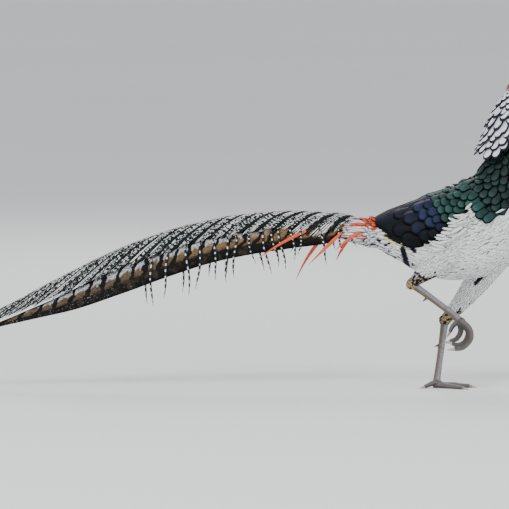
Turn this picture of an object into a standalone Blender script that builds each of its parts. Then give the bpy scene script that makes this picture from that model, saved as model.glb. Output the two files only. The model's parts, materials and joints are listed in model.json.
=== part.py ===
"""A cock pheasant of the ruffed kind, life size, walking on its left foot with the right foot lifted.

Metres, +X towards the bill, +Y to the bird's left, +Z up. The origin is under the pad of the standing foot,
below the bird's middle plane. The body is one loft along a curved axis, parted into named pieces by thin gaps.
The plumage that names the bird is built vane by vane on top of it: cape, crest, wings, coverts and tail.
"""

import math
import random

import bmesh
import bpy
import numpy as np
from mathutils import Matrix, Vector

# Driving sizes
GAP = 0.0003  # between pieces that meet
VANE = 0.0007  # thickness of a feather's vane
STRAND = 0.0006  # thickness of a thin hanging strand
LEAN = 0.10  # how much wider the belly is than the back, as a share
BODY_SIDES = 20
EYE_RADIUS = 0.0054
EYE_SPOT = (0.1570, 0.0128, 0.4352)  # centre of the left eye
LID_RADIUS = 0.0009
CLAW_LENGTH = 0.011
CLAW_ROOT, CLAW_POINT = 0.78, 0.15  # a claw's radius at its root as a share of the toe's, and at its point of that
CLAW_BEND = 0.0012  # how far the point of a lifted claw curls up
SPUR_PLACE, SPUR_LENGTH, SPUR_RADIUS = 1.55, 0.011, 0.0024  # a spur's place down the shank's rows, and its size
LEG_SIDES = 10
GROUND_SIZE = 0.2

# Sections of the body along its axis, from inside the tail to the bill: x, z, half height, half width
BODY = (
    (-0.146, 0.224, 0.0070, 0.0090),
    (-0.108, 0.222, 0.0130, 0.0150),
    (-0.092, 0.221, 0.0165, 0.0195),
    (-0.070, 0.221, 0.0280, 0.0310),
    (-0.045, 0.219, 0.0395, 0.0430),
    (-0.017, 0.216, 0.0520, 0.0510),
    (0.018, 0.216, 0.0620, 0.0560),
    (0.054, 0.226, 0.0670, 0.0570),
    (0.0857, 0.2475, 0.0690, 0.0550),
    (0.1044, 0.2757, 0.0635, 0.0490),
    (0.112, 0.3074, 0.0520, 0.0400),
    (0.115, 0.338, 0.0390, 0.0320),
    (0.118, 0.369, 0.0295, 0.0260),
    (0.129, 0.400, 0.0245, 0.0225),
    (0.141, 0.421, 0.0210, 0.0190),
    (0.157, 0.433, 0.0172, 0.0158),
    (0.169, 0.432, 0.0122, 0.0110),
    (0.1755, 0.4305, 0.0085, 0.0075),
)
TAIL_END, RUMP_START, NECK_START, HEAD_START, FACE_END = 1.0, 3.0, 9.6, 13.2, 17.0

# Ridge of the tail from its root to its tip: x, z, depth below the ridge, half width
TAIL = (
    (-0.111, 0.2310, 0.018, 0.010),
    (-0.125, 0.2400, 0.030, 0.014),
    (-0.150, 0.2480, 0.044, 0.020),
    (-0.199, 0.2530, 0.054, 0.025),
    (-0.262, 0.2505, 0.060, 0.028),
    (-0.330, 0.2390, 0.062, 0.030),
    (-0.400, 0.2190, 0.064, 0.030),
    (-0.470, 0.1910, 0.062, 0.028),
    (-0.540, 0.1560, 0.052, 0.024),
    (-0.600, 0.1240, 0.035, 0.017),
    (-0.650, 0.0980, 0.021, 0.012),
    (-0.692, 0.0790, 0.013, 0.008),
    (-0.722, 0.0680, 0.009, 0.006),
)
TAIL_ARC = math.radians(100)  # how far each side of the tail curls down from the ridge
STRANDS = 5  # hanging barbs on each side of the tail

MATERIALS = {
    "green_plumage": ((0.035, 0.085, 0.075), 0.42, 0.2),
    "belly_plumage": ((0.82, 0.83, 0.82), 0.8, 0.0),
    "wing_plumage": ((0.03, 0.045, 0.10), 0.4, 0.2),
    "cape_plumage": ((0.85, 0.86, 0.9), 0.7, 0.0),
    "crest_plumage": ((0.45, 0.02, 0.02), 0.6, 0.0),
    "tail_plumage": ((0.42, 0.40, 0.36), 0.65, 0.0),
    "rump_plumage": ((0.75, 0.22, 0.10), 0.65, 0.0),
    "leg_scales": ((0.33, 0.33, 0.34), 0.5, 0.0),
    "horn": ((0.42, 0.47, 0.48), 0.35, 0.0),
    "eye": ((0.85, 0.83, 0.62), 0.1, 0.0),
}


def clear_scene():
    for obj in list(bpy.data.objects):
        bpy.data.objects.remove(obj)


def material(name):
    colour, roughness, metallic = MATERIALS[name]
    made = bpy.data.materials.get(name) or bpy.data.materials.new(name)
    made.use_nodes = True
    shader = made.node_tree.nodes["Principled BSDF"]
    shader.inputs["Base Color"].default_value = (*colour, 1)
    shader.inputs["Roughness"].default_value = roughness
    shader.inputs["Metallic"].default_value = metallic
    return made


def between(rows, t):
    """The row of values at place t, on a smooth curve through the rows."""
    rows = np.asarray(rows, float)
    i = min(max(int(t), 0), len(rows) - 2)
    f = t - i
    a, b, c, d = rows[max(i - 1, 0)], rows[i], rows[i + 1], rows[min(i + 2, len(rows) - 1)]
    return 0.5 * (2 * b + (c - a) * f + (2 * a - 5 * b + 4 * c - d) * f**2 + (3 * b - a - 3 * c + d) * f**3)


def axis_frame(rows, t):
    """Centre, direction along the rows and the upward normal, for rows that start with x and z."""
    step = 0.02
    low = min(max(t - step, 0), len(rows) - 1 - 2 * step)
    here, before, after = between(rows, t), between(rows, low), between(rows, low + 2 * step)
    along = Vector((after[0] - before[0], 0, after[1] - before[1]))
    per_step = along.length / (2 * step)
    along.normalize()
    return Vector((here[0], 0, here[1])), along, per_step, here[2:]


def on_body(t, angle, lift=0.0):
    """A point on the body: angle 0 is the back, +90 degrees the left side and 180 the belly."""
    centre, along, _, (height, width) = axis_frame(BODY, t)
    back = Vector((-along.z, 0, along.x))
    up = (height + lift) * math.cos(angle)
    out = (width + lift) * math.sin(angle) * (1 - LEAN * math.cos(angle))
    return centre + back * up + Vector((0, out, 0))


def body_reach(t, angle):
    """Metres along the body's skin for one radian of angle."""
    _, _, _, (height, width) = axis_frame(BODY, t)
    return math.hypot(height * math.sin(angle), width * math.cos(angle))


def on_tail(t, share, level=0.0):
    """A point on the tail's roof: share runs from -1 to 1 across it, and level is the depth under its surface."""
    centre, along, _, (depth, width) = axis_frame(TAIL, t)
    up = Vector((along.z, 0, -along.x))
    bow = depth / (1 - math.cos(TAIL_ARC))
    angle = share * TAIL_ARC
    rise = (bow - level) * math.cos(angle) - bow
    return centre + up * rise + Vector((0, (width - level) * math.sin(angle), 0))


def finish(bm, name, slot, smooth=True):
    """Turns a bmesh into a named object with its material."""
    bmesh.ops.recalc_face_normals(bm, faces=bm.faces)
    mesh = bpy.data.meshes.new(name)
    bm.to_mesh(mesh)
    bm.free()
    mesh.materials.append(material(slot))
    if smooth:
        mesh.shade_smooth()
        mesh.set_sharp_from_angle(angle=math.radians(50))
    obj = bpy.data.objects.new(name, mesh)
    bpy.data.collections["pheasant"].objects.link(obj)
    return obj


def loft(name, rings, slot):
    """A closed solid through rings of like counts of points, with flat ends."""
    bm = bmesh.new()
    loops = [[bm.verts.new(point) for point in ring] for ring in rings]
    count = len(loops[0])
    for low, high in zip(loops, loops[1:]):
        for i in range(count):
            j = (i + 1) % count
            bm.faces.new((low[i], low[j], high[j]))
            bm.faces.new((low[i], high[j], high[i]))
    bm.faces.new(loops[0])
    bm.faces.new(loops[-1])
    return finish(bm, name, slot)


def sheet(name, shape, across, along, thick, slot, core):
    """A thin vane. shape(u, v) gives its outer face, the one away from the point core, for u from -1 to 1 across
    and v from 0 to 1 along."""
    bm = bmesh.new()
    bmesh.ops.create_grid(bm, x_segments=across, y_segments=along, size=1)
    bmesh.ops.triangulate(bm, faces=bm.faces[:], quad_method="FIXED")
    for vert in bm.verts:
        vert.co = shape(vert.co.x, (vert.co.y + 1) / 2)
    bm.normal_update()
    if sum(face.normal.dot(face.calc_center_median() - core) for face in bm.faces) < 0:
        bmesh.ops.reverse_faces(bm, faces=bm.faces[:])
    bmesh.ops.solidify(bm, geom=bm.faces[:], thickness=thick)
    return finish(bm, name, slot)


def apply_boolean(obj, operation, others):
    """Joins or cuts obj with the others, keeps its largest closed surface and removes the others."""
    group = bpy.data.collections.new("pieces")
    bpy.context.scene.collection.children.link(group)
    for other in others:
        group.objects.link(other)
    modifier = obj.modifiers.new("boolean", "BOOLEAN")
    modifier.operation = operation
    modifier.solver = "MANIFOLD"
    modifier.operand_type = "COLLECTION"
    modifier.collection = group
    bpy.context.view_layer.update()
    evaluated = obj.evaluated_get(bpy.context.evaluated_depsgraph_get())
    mesh = bpy.data.meshes.new_from_object(evaluated)
    obj.modifiers.clear()
    obj.data = mesh
    for other in others:
        bpy.data.objects.remove(other)
    bpy.data.collections.remove(group)
    keep_largest(obj)
    return obj


def keep_largest(obj):
    """Drops every closed surface of the object but the one that holds the most."""
    bm = bmesh.new()
    bm.from_mesh(obj.data)
    left, shells = set(bm.faces), []
    while left:
        shell, front = set(), [left.pop()]
        while front:
            face = front.pop()
            shell.add(face)
            for edge in face.edges:
                for other in edge.link_faces:
                    if other in left:
                        left.remove(other)
                        front.append(other)
        shells.append(shell)
    volumes = [sum(f.calc_area() * f.normal.dot(f.calc_center_median()) for f in shell) for shell in shells]
    best = shells[volumes.index(max(volumes))]
    bmesh.ops.delete(bm, geom=[f for f in bm.faces if f not in best], context="FACES")
    bm.to_mesh(obj.data)
    bm.free()


def body_places(start, end):
    """The places of the rings from start to end: the same ones in every piece, so that cutters fit."""
    cuts = (TAIL_END, RUMP_START, NECK_START, HEAD_START, FACE_END)
    places = [t for t in np.arange(0, FACE_END, 0.5) if min(abs(t - cut) for cut in cuts) > 0.2]
    return [t for t in sorted([*places, *cuts]) if start < t < end]


def body_loft(name, start, end, slot, grow=0.0, start_gap=GAP / 2, end_gap=GAP / 2):
    """A length of the body between two places on its axis, held back by half a gap at each parted end."""
    _, _, start_rate, _ = axis_frame(BODY, start)
    _, _, end_rate, _ = axis_frame(BODY, end)
    places = [start + start_gap / start_rate, *body_places(start, end), end - end_gap / end_rate]
    angles = [2 * math.pi * k / BODY_SIDES for k in range(BODY_SIDES)]
    return loft(name, [[on_body(t, a, grow) for a in angles] for t in places], slot)


def tube(name, path, slot, sides=LEG_SIDES, samples=3, flat=1.0):
    """A closed round limb through rows of x, y, z and radius. flat makes it narrower across Y."""
    rows = np.asarray(path, float)
    rings = []
    for t in np.linspace(0, len(rows) - 1, (len(rows) - 1) * samples + 1):
        x, y, z, radius = between(rows, t)
        before, after = between(rows, max(t - 0.05, 0)), between(rows, min(t + 0.05, len(rows) - 1))
        along = Vector(after[:3] - before[:3]).normalized()
        side = Vector((0, 1, 0))
        side = (side - along * side.dot(along)).normalized()
        up = along.cross(side)
        turns = [2 * math.pi * k / sides for k in range(sides)]
        centre = Vector((x, y, z))
        rings.append([centre + up * radius * math.cos(a) + side * radius * flat * math.sin(a) for a in turns])
    return loft(name, rings, slot)


def ball(name, centre, scale, slot, segments=20, rings=12):
    """An ellipsoid as a closed solid."""
    bm = bmesh.new()
    bmesh.ops.create_uvsphere(bm, u_segments=segments, v_segments=rings, radius=1)
    bmesh.ops.scale(bm, vec=Vector(scale), verts=bm.verts)
    bmesh.ops.translate(bm, vec=Vector(centre), verts=bm.verts)
    return finish(bm, name, slot)


def torus(name, centre, across, radius, slot, segments=16, sides=5):
    """A ring of round wire that faces along Y: a small circle, spun about the ring's middle."""
    bm = bmesh.new()
    centre = Vector(centre)
    bmesh.ops.create_circle(bm, segments=sides, radius=radius)
    bmesh.ops.rotate(bm, cent=(0, 0, 0), matrix=Matrix.Rotation(math.pi / 2, 3, "X"), verts=bm.verts)
    bmesh.ops.rotate(bm, cent=(0, 0, 0), matrix=Matrix.Rotation(math.pi / 2, 3, "Z"), verts=bm.verts)
    bmesh.ops.translate(bm, vec=centre + Vector((0, 0, across)), verts=bm.verts)
    bmesh.ops.spin(bm, geom=bm.edges[:], cent=centre, axis=(0, 1, 0), angle=2 * math.pi, steps=segments, use_merge=True)
    bmesh.ops.triangulate(bm, faces=bm.faces[:])
    return finish(bm, name, slot)


def body_cutter():
    """The whole body swelled by one gap, to cut what lies against it."""
    return body_loft("cutter", TAIL_END, FACE_END, "leg_scales", GAP, -GAP, -GAP)


# Legs: the knee end, the middle and the hock end of each feathered thigh, then the bare shank: x, y, z, radius
THIGHS = {
    "right": (
        (0.030, -0.030, 0.208, 0.0270),
        (0.002, -0.037, 0.186, 0.0215),
        (-0.020, -0.036, 0.166, 0.0125),
        (-0.034, -0.034, 0.153, 0.0070),
    ),
    "left": (
        (0.086, 0.030, 0.196, 0.0270),
        (0.066, 0.036, 0.160, 0.0200),
        (0.040, 0.031, 0.125, 0.0135),
        (0.014, 0.024, 0.096, 0.0078),
    ),
}
SHANKS = {
    "right": (
        (-0.037, -0.034, 0.1510, 0.0062),
        (-0.026, -0.0335, 0.1430, 0.0052),
        (0.000, -0.032, 0.1240, 0.0047),
        (0.022, -0.031, 0.1070, 0.0048),
        (0.031, -0.030, 0.0990, 0.0056),
    ),
    "left": (
        (0.0125, 0.0240, 0.0950, 0.0064),
        (0.0105, 0.0205, 0.0800, 0.0053),
        (0.0055, 0.0115, 0.0450, 0.0047),
        (0.0015, 0.0035, 0.0180, 0.0050),
        (0.0000, 0.0000, 0.0090, 0.0056),
    ),
}
HOCK_RADIUS = 0.0075
SHANK_FLAT = 0.78  # a shank is narrower than it is deep
PADS = {"right": (0.0335, -0.030, 0.0965, 0.0066), "left": (0.001, 0.000, 0.0055, 0.0075)}
# Toes of each foot from the pad outwards: x, y, z, radius
TOES = {
    "right": (
        (
            (0.033, -0.034, 0.0980, 0.0048),
            (0.045, -0.037, 0.0870, 0.0042),
            (0.0465, -0.038, 0.0730, 0.0041),
            (0.036, -0.038, 0.0610, 0.0037),
            (0.024, -0.038, 0.0585, 0.0030),
        ),
        (
            (0.033, -0.030, 0.0960, 0.0046),
            (0.0435, -0.029, 0.0830, 0.0041),
            (0.040, -0.028, 0.0690, 0.0038),
            (0.030, -0.028, 0.0635, 0.0033),
            (0.021, -0.028, 0.0655, 0.0028),
        ),
        (
            (0.031, -0.026, 0.0960, 0.0046),
            (0.0335, -0.022, 0.0830, 0.0040),
            (0.028, -0.020, 0.0720, 0.0036),
            (0.019, -0.019, 0.0680, 0.0029),
        ),
        (
            (0.030, -0.029, 0.0980, 0.0042),
            (0.022, -0.026, 0.0900, 0.0034),
            (0.018, -0.025, 0.0820, 0.0027),
        ),
    ),
    "left": (
        (
            (0.001, 0.000, 0.0040, 0.0052),
            (0.018, 0.001, 0.0033, 0.0044),
            (0.034, 0.001, 0.0028, 0.0037),
            (0.047, 0.001, 0.0023, 0.0030),
        ),
        (
            (0.001, -0.001, 0.0040, 0.0050),
            (0.015, -0.010, 0.0030, 0.0041),
            (0.027, -0.019, 0.0026, 0.0034),
            (0.036, -0.026, 0.0021, 0.0027),
        ),
        (
            (0.001, 0.001, 0.0040, 0.0050),
            (0.013, 0.012, 0.0030, 0.0041),
            (0.023, 0.023, 0.0026, 0.0034),
            (0.030, 0.032, 0.0021, 0.0027),
        ),
        (
            (-0.002, -0.002, 0.0080, 0.0042),
            (-0.010, -0.006, 0.0052, 0.0033),
            (-0.017, -0.010, 0.0024, 0.0026),
        ),
    ),
}


def grown(rows, by):
    """The same limb with every radius swelled and its two ends pushed out."""
    rows = [list(row) for row in rows]
    for end, inner in ((0, 1), (-1, -2)):
        out = Vector(rows[end][:3]) - Vector(rows[inner][:3])
        rows[end][:3] = Vector(rows[end][:3]) + out.normalized() * by
    return [(*row[:3], row[3] + by) for row in rows]


def shank(side, name, grow=0.0):
    rows = SHANKS[side]
    pieces = [ball("hock", rows[0][:3], [HOCK_RADIUS + grow] * 3, "leg_scales", 12, 7)]
    return apply_boolean(tube(name, grown(rows, grow), "leg_scales", flat=SHANK_FLAT), "UNION", pieces)


def spur(side):
    """The cock's spur: a short cone from the back of the shank, inwards and a little down."""
    x, y, z, _ = between(SHANKS[side], SPUR_PLACE)
    inwards = 0.45 if side == "right" else -0.45
    along = Vector((-1, inwards, -0.35 if side == "left" else -0.9)).normalized()
    path = [(*(Vector((x, y, z)) + along * SPUR_LENGTH * s), SPUR_RADIUS * (1 - 0.8 * s)) for s in (0, 0.5, 1)]
    return tube("spur", path, "horn", sides=6, samples=1)


def leg(side):
    apply_boolean(shank(side, f"shank_{side}"), "UNION", [spur(side)])
    thigh = tube(f"thigh_{side}", THIGHS[side], "belly_plumage", sides=14, samples=2)
    apply_boolean(thigh, "DIFFERENCE", [body_cutter()])
    apply_boolean(thigh, "DIFFERENCE", [shank(side, "cutter", GAP)])
    foot(side)


def foot(side):
    """The pad with its toes, cut flat underneath where it stands, and a claw on each toe."""
    *pad, pad_radius = PADS[side]
    toes = [tube(f"toe_{i}", rows, "leg_scales", sides=8, samples=2 if side == "right" else 1) for i, rows in enumerate(TOES[side])]
    made = ball(f"foot_{side}", pad, [pad_radius] * 3, "leg_scales", 12, 7)
    apply_boolean(made, "UNION", toes)
    apply_boolean(made, "DIFFERENCE", [shank(side, "cutter", GAP)])
    if side == "left":
        apply_boolean(made, "DIFFERENCE", [ground()])
    for i, rows in enumerate(TOES[side]):
        claw(f"claw_{side}_{i + 1}", rows, side == "left")


def ground():
    """The floor as a block, to cut flats under what stands on it."""
    bm = bmesh.new()
    bmesh.ops.create_cube(bm, size=GROUND_SIZE)
    bmesh.ops.translate(bm, vec=(0, 0, -GROUND_SIZE / 2), verts=bm.verts)
    return finish(bm, "ground", "leg_scales", smooth=False)


def claw(name, toe, stands):
    """A claw past the end of its toe. On the standing foot its point comes to rest on the floor."""
    end, before = Vector(toe[-1][:3]), Vector(toe[-2][:3])
    ahead = (end - before).normalized()
    radius = toe[-1][3] * CLAW_ROOT
    bend = CLAW_BEND
    if stands:
        bend = radius * CLAW_POINT / 2 - end.z - ahead.z * CLAW_LENGTH
    path = []
    for s in (0.0, 0.35, 0.7, 1.0):
        place = end + ahead * (GAP + CLAW_LENGTH * s) + Vector((0, 0, bend * s * s))
        path.append((*place, radius * (1 - (1 - CLAW_POINT) * s)))
    made = tube(name, path, "horn", sides=6, samples=1)
    if stands:
        apply_boolean(made, "DIFFERENCE", [ground()])


def eye_at(side, radius, name="eye"):
    x, y, z = EYE_SPOT
    return ball(name, (x, y * side, z), [radius] * 3, "eye", 16, 9)


def head():
    """Skull to the bill's root, with bare skin round the eyes, lids, sockets and the corners of the mouth."""
    made = body_loft("head", HEAD_START, FACE_END, "green_plumage", end_gap=0)
    x, y, z = EYE_SPOT
    extras = []
    for side in (-1, 1):
        extras.append(ball("skin", (x + 0.001, (y - 0.0015) * side, z - 0.001), (0.0105, 0.0045, 0.0085), "horn", 14, 7))
        extras.append(ball("lappet", (x + 0.001, (y - 0.0015) * side, z - 0.010), (0.0045, 0.0030, 0.0050), "horn", 10, 6))
        depth = EYE_RADIUS * 0.5
        across = math.sqrt(EYE_RADIUS**2 - depth**2) + LID_RADIUS * 0.5
        extras.append(torus("lid", (x, (y + depth) * side, z), across, LID_RADIUS, "horn"))
    apply_boolean(made, "UNION", extras)
    sockets = [eye_at(side, EYE_RADIUS + GAP, "socket") for side in (-1, 1)]
    gape = ball("gape", (0.1755, 0, 0.4280), (0.0085, 0.02, 0.0005), "horn", 10, 6)
    apply_boolean(made, "DIFFERENCE", [*sockets, gape])
    for side, word in ((-1, "right"), (1, "left")):
        eye_at(side, EYE_RADIUS, f"eye_{word}")


def bill():
    """Upper and lower halves of the bill, with nostrils, meeting the face at its flat front."""
    halves = {
        "bill_upper": (
            (0.1720, 0.4338, 0.0050, 0.0068),
            (0.1780, 0.4330, 0.0047, 0.0060),
            (0.1850, 0.4322, 0.0042, 0.0049),
            (0.1925, 0.4302, 0.0033, 0.0034),
            (0.1990, 0.4265, 0.0013, 0.0012),
        ),
        "bill_lower": (
            (0.1720, 0.4255, 0.0024, 0.0062),
            (0.1780, 0.4254, 0.0023, 0.0055),
            (0.1850, 0.4254, 0.0021, 0.0044),
            (0.1915, 0.4250, 0.0015, 0.0028),
            (0.1955, 0.4245, 0.0007, 0.0012),
        ),
    }
    for name, rows in halves.items():
        rings = []
        for t in np.linspace(0, len(rows) - 1, 13):
            x, z, height, width = between(rows, t)
            turns = [2 * math.pi * k / 12 for k in range(12)]
            rings.append([(x, width * math.sin(a), z + height * math.cos(a)) for a in turns])
        half = loft(name, rings, "horn")
        cutters = [body_cutter()]
        if name == "bill_upper":
            for side in (-1, 1):
                cutters.append(ball("nostril", (0.1797, 0.0061 * side, 0.4343), (0.0023, 0.0015, 0.0009), "horn", 12, 7))
        for cutter in cutters:
            apply_boolean(half, "DIFFERENCE", [cutter])


def taper(v, root=0.4, point=0.15, swell=0.62):
    """Width of a vane along it, as a share of its widest: a narrow root and a rounded tip."""
    if v < swell:
        return root + (1 - root) * math.sin(math.pi / 2 * v / swell)
    return point + (1 - point) * math.sqrt(max(0, 1 - ((v - swell) / (1 - swell)) ** 2))


def mix(a, b, v):
    return a + (b - a) * v


def body_vane(name, root, tip, width, thick, slot, along=4, lift=None, point=0.15):
    """A vane along the body. root and tip give the place on the axis, the angle and the height over the skin, and
    width the angle it spans at its root and its tip. lift, where given, is its height at one place and angle."""

    def shape(u, v):
        t, angle, high = (mix(a, b, v) for a, b in zip(root, tip))
        angle += u * mix(*width, v) / 2 * taper(v, point=point)
        rise = min(1, v / 0.22)
        if lift:
            return on_body(t, angle, mix(root[2], lift(t, angle, v), rise))
        return on_body(t, angle, mix(root[2], mix(root[3], tip[2], v), rise))

    middle = axis_frame(BODY, (root[0] + tip[0]) / 2)[0]
    return sheet(name, shape, 1, along, thick, slot, middle)


# Hackles of the nape from the crown down: tip's place on the axis, count and the spread of their angles
CAPE_TIERS = ((13.55, 4, 58), (13.00, 5, 62), (12.40, 6, 62), (11.70, 6, 60), (10.85, 6, 54))
CAPE_LENGTH = 1.45  # of each hackle, in steps of the axis
# Height of the cape's surface over the neck: place on the axis, height at the back, height at the sides
CAPE_LIFT = (
    (9.8, 0.0155, 0.0050),
    (10.8, 0.0205, 0.0055),
    (11.8, 0.0205, 0.0055),
    (12.8, 0.0155, 0.0048),
    (13.8, 0.0085, 0.0040),
    (14.8, 0.0050, 0.0030),
)


def cape_lift(t, angle):
    place = (t - CAPE_LIFT[0][0]) / (CAPE_LIFT[1][0] - CAPE_LIFT[0][0])
    _, back, side = between(CAPE_LIFT, min(max(place, 0), len(CAPE_LIFT) - 1))
    return mix(side, back, max(0, math.cos(angle)) ** 1.3)


def cape():
    """Tiers of rounded hackles over a core that reaches half way out to their tips."""
    rings = []
    for t in np.linspace(11.2, 14.5, 6):
        spread = math.radians(80) * min(1, (15.4 - t) / 1.6)
        angles = np.linspace(-spread, spread, 9)
        outer = [on_body(t, a, 0.45 * cape_lift(t, a) * (abs(a) < spread * 0.99) + 0.0001) for a in angles]
        inner = [on_body(t, a, -0.0015) for a in angles]
        rings.append(outer + inner[::-1])
    core = loft("cape", rings, "cape_plumage")
    vanes = []
    for tip, count, spread in CAPE_TIERS:
        root = min(tip + CAPE_LENGTH, 14.4)
        pitch = math.radians(2 * spread / count)
        for i in range(count):
            angle = (i - (count - 1) / 2) * pitch

            def lift(t, here, v, root=root, angle=angle):
                return mix(0.45 * cape_lift(root, angle) + 0.0014, cape_lift(t, here), v**0.8)

            sunk = 0.45 * cape_lift(root, angle) - 0.0012
            vanes.append(
                body_vane("hackle", (root, angle * 0.86, sunk), (tip, angle, 0), (pitch * 0.80, pitch * 0.95), VANE,
                          "cape_plumage", 4, lift)
            )
    apply_boolean(core, "UNION", vanes)
    apply_boolean(core, "DIFFERENCE", [body_cutter()])


CREST_PATH = (  # x, z of the crest's lowest layer, from the crown back
    (0.1640, 0.4440),
    (0.1500, 0.4500),
    (0.1330, 0.4485),
    (0.1160, 0.4400),
    (0.1040, 0.4300),
    (0.0960, 0.4200),
)


def crest():
    """Layers of narrow silky plumes from the crown, lying back over the cape."""
    made = ball("crest", (0.1545, 0, 0.4480), (0.0085, 0.0085, 0.0040), "crest_plumage", 10, 6)
    plumes = []
    for layer, count in enumerate((3, 4, 3)):
        for i in range(count):
            side = i - (count - 1) / 2
            reach = 1 - 0.09 * abs(side) - 0.06 * layer

            def shape(u, v, side=side, layer=layer, reach=reach):
                s = 0.8 + v * (reach * (len(CREST_PATH) - 1) - 0.8)
                centre, along, _, _ = axis_frame(CREST_PATH, s)
                up = Vector((along.z, 0, -along.x))
                rise = mix(0.0004, 0.0012 * layer, min(1, 3 * v)) - abs(side) * 0.0016
                half = 0.0019 * (taper(v, root=0.6, point=0.12, swell=0.4))
                return centre + up * rise + Vector((0, side * mix(0.0043, 0.0050, v) + u * half, 0))

            plumes.append(sheet("plume", shape, 1, 4, 0.0006, "crest_plumage", Vector((0.12, 0, 0.38))))
    apply_boolean(made, "UNION", plumes)
    apply_boolean(made, "DIFFERENCE", [body_cutter()])


# Tiers of wing feathers from the lowest up: count, segments along, then for the topmost feather and the bottom one
# the place on the axis and the angle of the root, the same of the tip, and the height over the skin at the tip
WING_TIERS = (
    (7, 5, (5.7, 36, 1.95, 30, 0.0032), (5.2, 98, 2.2, 112, 0.0028)),
    (5, 4, (6.3, 34, 4.3, 35, 0.0052), (6.0, 80, 4.5, 94, 0.0050)),
    (5, 4, (6.8, 32, 5.1, 33, 0.0060), (6.6, 72, 5.3, 80, 0.0056)),
    (4, 4, (7.3, 32, 5.9, 32, 0.0062), (7.1, 66, 6.0, 68, 0.0058)),
    (2, 5, (6.9, 13, 4.3, 14, 0.0058), (6.9, 22, 4.1, 25, 0.0058)),
)
WING_FLESH = 0.0022  # height of the wing's flesh over the skin
# The wing's flesh: place on the axis, upper and lower edge
WING_CORE = ((5.0, 40, 90), (5.6, 12, 100), (6.4, 8, 86), (7.2, 10, 76), (7.7, 30, 62))


def wing(side, word):
    """A folded wing: tiers of feathers, each tier rooted in the wing's flesh and over the next one."""
    rings = []
    for t, high, low in WING_CORE:
        angles = [math.radians(a) * side for a in np.linspace(high, low, 7)]
        edge = [0.0001, *[WING_FLESH * (0.3 if t in (5.0, 7.7) else 1)] * 5, 0.0001]
        outer = [on_body(t, a, lift) for a, lift in zip(angles, edge)]
        rings.append(outer + [on_body(t, a, -0.002) for a in angles[::-1]])
    core = loft(f"wing_{word}", rings, "wing_plumage")
    vanes = []
    for count, along, first, last in WING_TIERS:
        first, last = np.array(first), np.array(last)
        root_pitch, tip_pitch = (last - first)[[1, 3]] / (count - 1)
        for i in range(count):
            root_t, root_angle, tip_t, tip_angle, high = mix(first, last, i / (count - 1))
            vanes.append(
                body_vane(
                    "vane",
                    (root_t, math.radians(root_angle) * side, WING_FLESH - 0.0011, WING_FLESH + 0.0013),
                    (tip_t + 0.08 * (i % 2), math.radians(tip_angle) * side, high),
                    (math.radians(root_pitch) * 0.95, math.radians(tip_pitch) * 0.95),
                    VANE,
                    "wing_plumage",
                    along,
                    point=0.3,
                )
            )
    apply_boolean(core, "UNION", vanes)
    apply_boolean(core, "DIFFERENCE", [body_cutter()])


# Tail feathers from the ridge down: depth below the roof's surface, length as a share of the tail, and the shares
# across the roof of the upper and lower edge
CENTRE_FEATHERS = ((0.0, 1.0, 0.62), (0.0015, 1.0, 0.62))
SIDE_FEATHERS = ((0.0036, 0.86, 0.36), (0.0056, 0.70, 0.42), (0.0076, 0.54, 0.48), (0.0096, 0.40, 0.54))


def tail_core(t):
    centre, _, _, (depth, _) = axis_frame(TAIL, t)
    return centre - Vector((0, 0, depth))


def tail():
    """A long nested roof: the two centre feathers over four pairs of side feathers, with strands that hang."""
    last = len(TAIL) - 1
    pieces = []
    for level, length, web in CENTRE_FEATHERS:

        def shape(u, v, level=level, length=length, web=web):
            wide = mix(web, 1.0, min(1, max(0, (v - 0.72) / 0.16))) * mix(1, 0.4, max(0, (v - 0.88) / 0.12))
            narrow = min(1, 0.35 + 6 * v)
            return on_tail(v * length * last, u * wide * narrow, level)

        pieces.append(sheet("centre", shape, 4, 11, VANE, "tail_plumage", tail_core(5)))
    for side in (-1, 1):
        for level, length, start in SIDE_FEATHERS:

            def shape(u, v, side=side, level=level, length=length, start=start):
                upper = mix(start, 0.80, max(0, (v - 0.55) / 0.45) ** 1.5)
                lower = mix(0.97, 0.86, max(0, (v - 0.72) / 0.28) ** 1.5)
                narrow = min(1, 0.25 + 5 * v)
                share = 0.5 + (mix(upper, lower, (u + 1) / 2) - 0.5) * narrow
                return on_tail(v * length * last, side * share, level)

            pieces.append(sheet("side", shape, 2, 5, VANE, "tail_plumage", tail_core(4)))
    # Long barbs that leave the upper web and hang down past the tail's lower edge
    chance = random.Random(4)
    for side in (-1, 1):
        for i in range(STRANDS):
            place = mix(2.7, 6.4, (i + chance.uniform(0.2, 0.8)) / STRANDS)
            drop = chance.uniform(0.012, 0.034)
            sweep = chance.uniform(-0.006, 0.010)

            def shape(u, v, side=side, place=place, drop=drop, sweep=sweep):
                half = 0.0017 * (1 - 0.7 * v)
                round_part = min(1, v / 0.75)
                level = mix(0.0009, -0.0013, min(1, v * 4))
                point = on_tail(place + 0.42 * round_part + u * half / 0.064, side * mix(0.3, 0.88, round_part), level)
                fall = max(0, (v - 0.75) / 0.25)
                return point + Vector((-sweep * fall, side * 0.001 * fall, -drop * fall))

            pieces.append(sheet("strand", shape, 1, 4, STRAND, "tail_plumage", tail_core(place)))
    plug = body_loft("tail", 0, TAIL_END, "tail_plumage", start_gap=0)
    apply_boolean(plug, "UNION", pieces)


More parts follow.
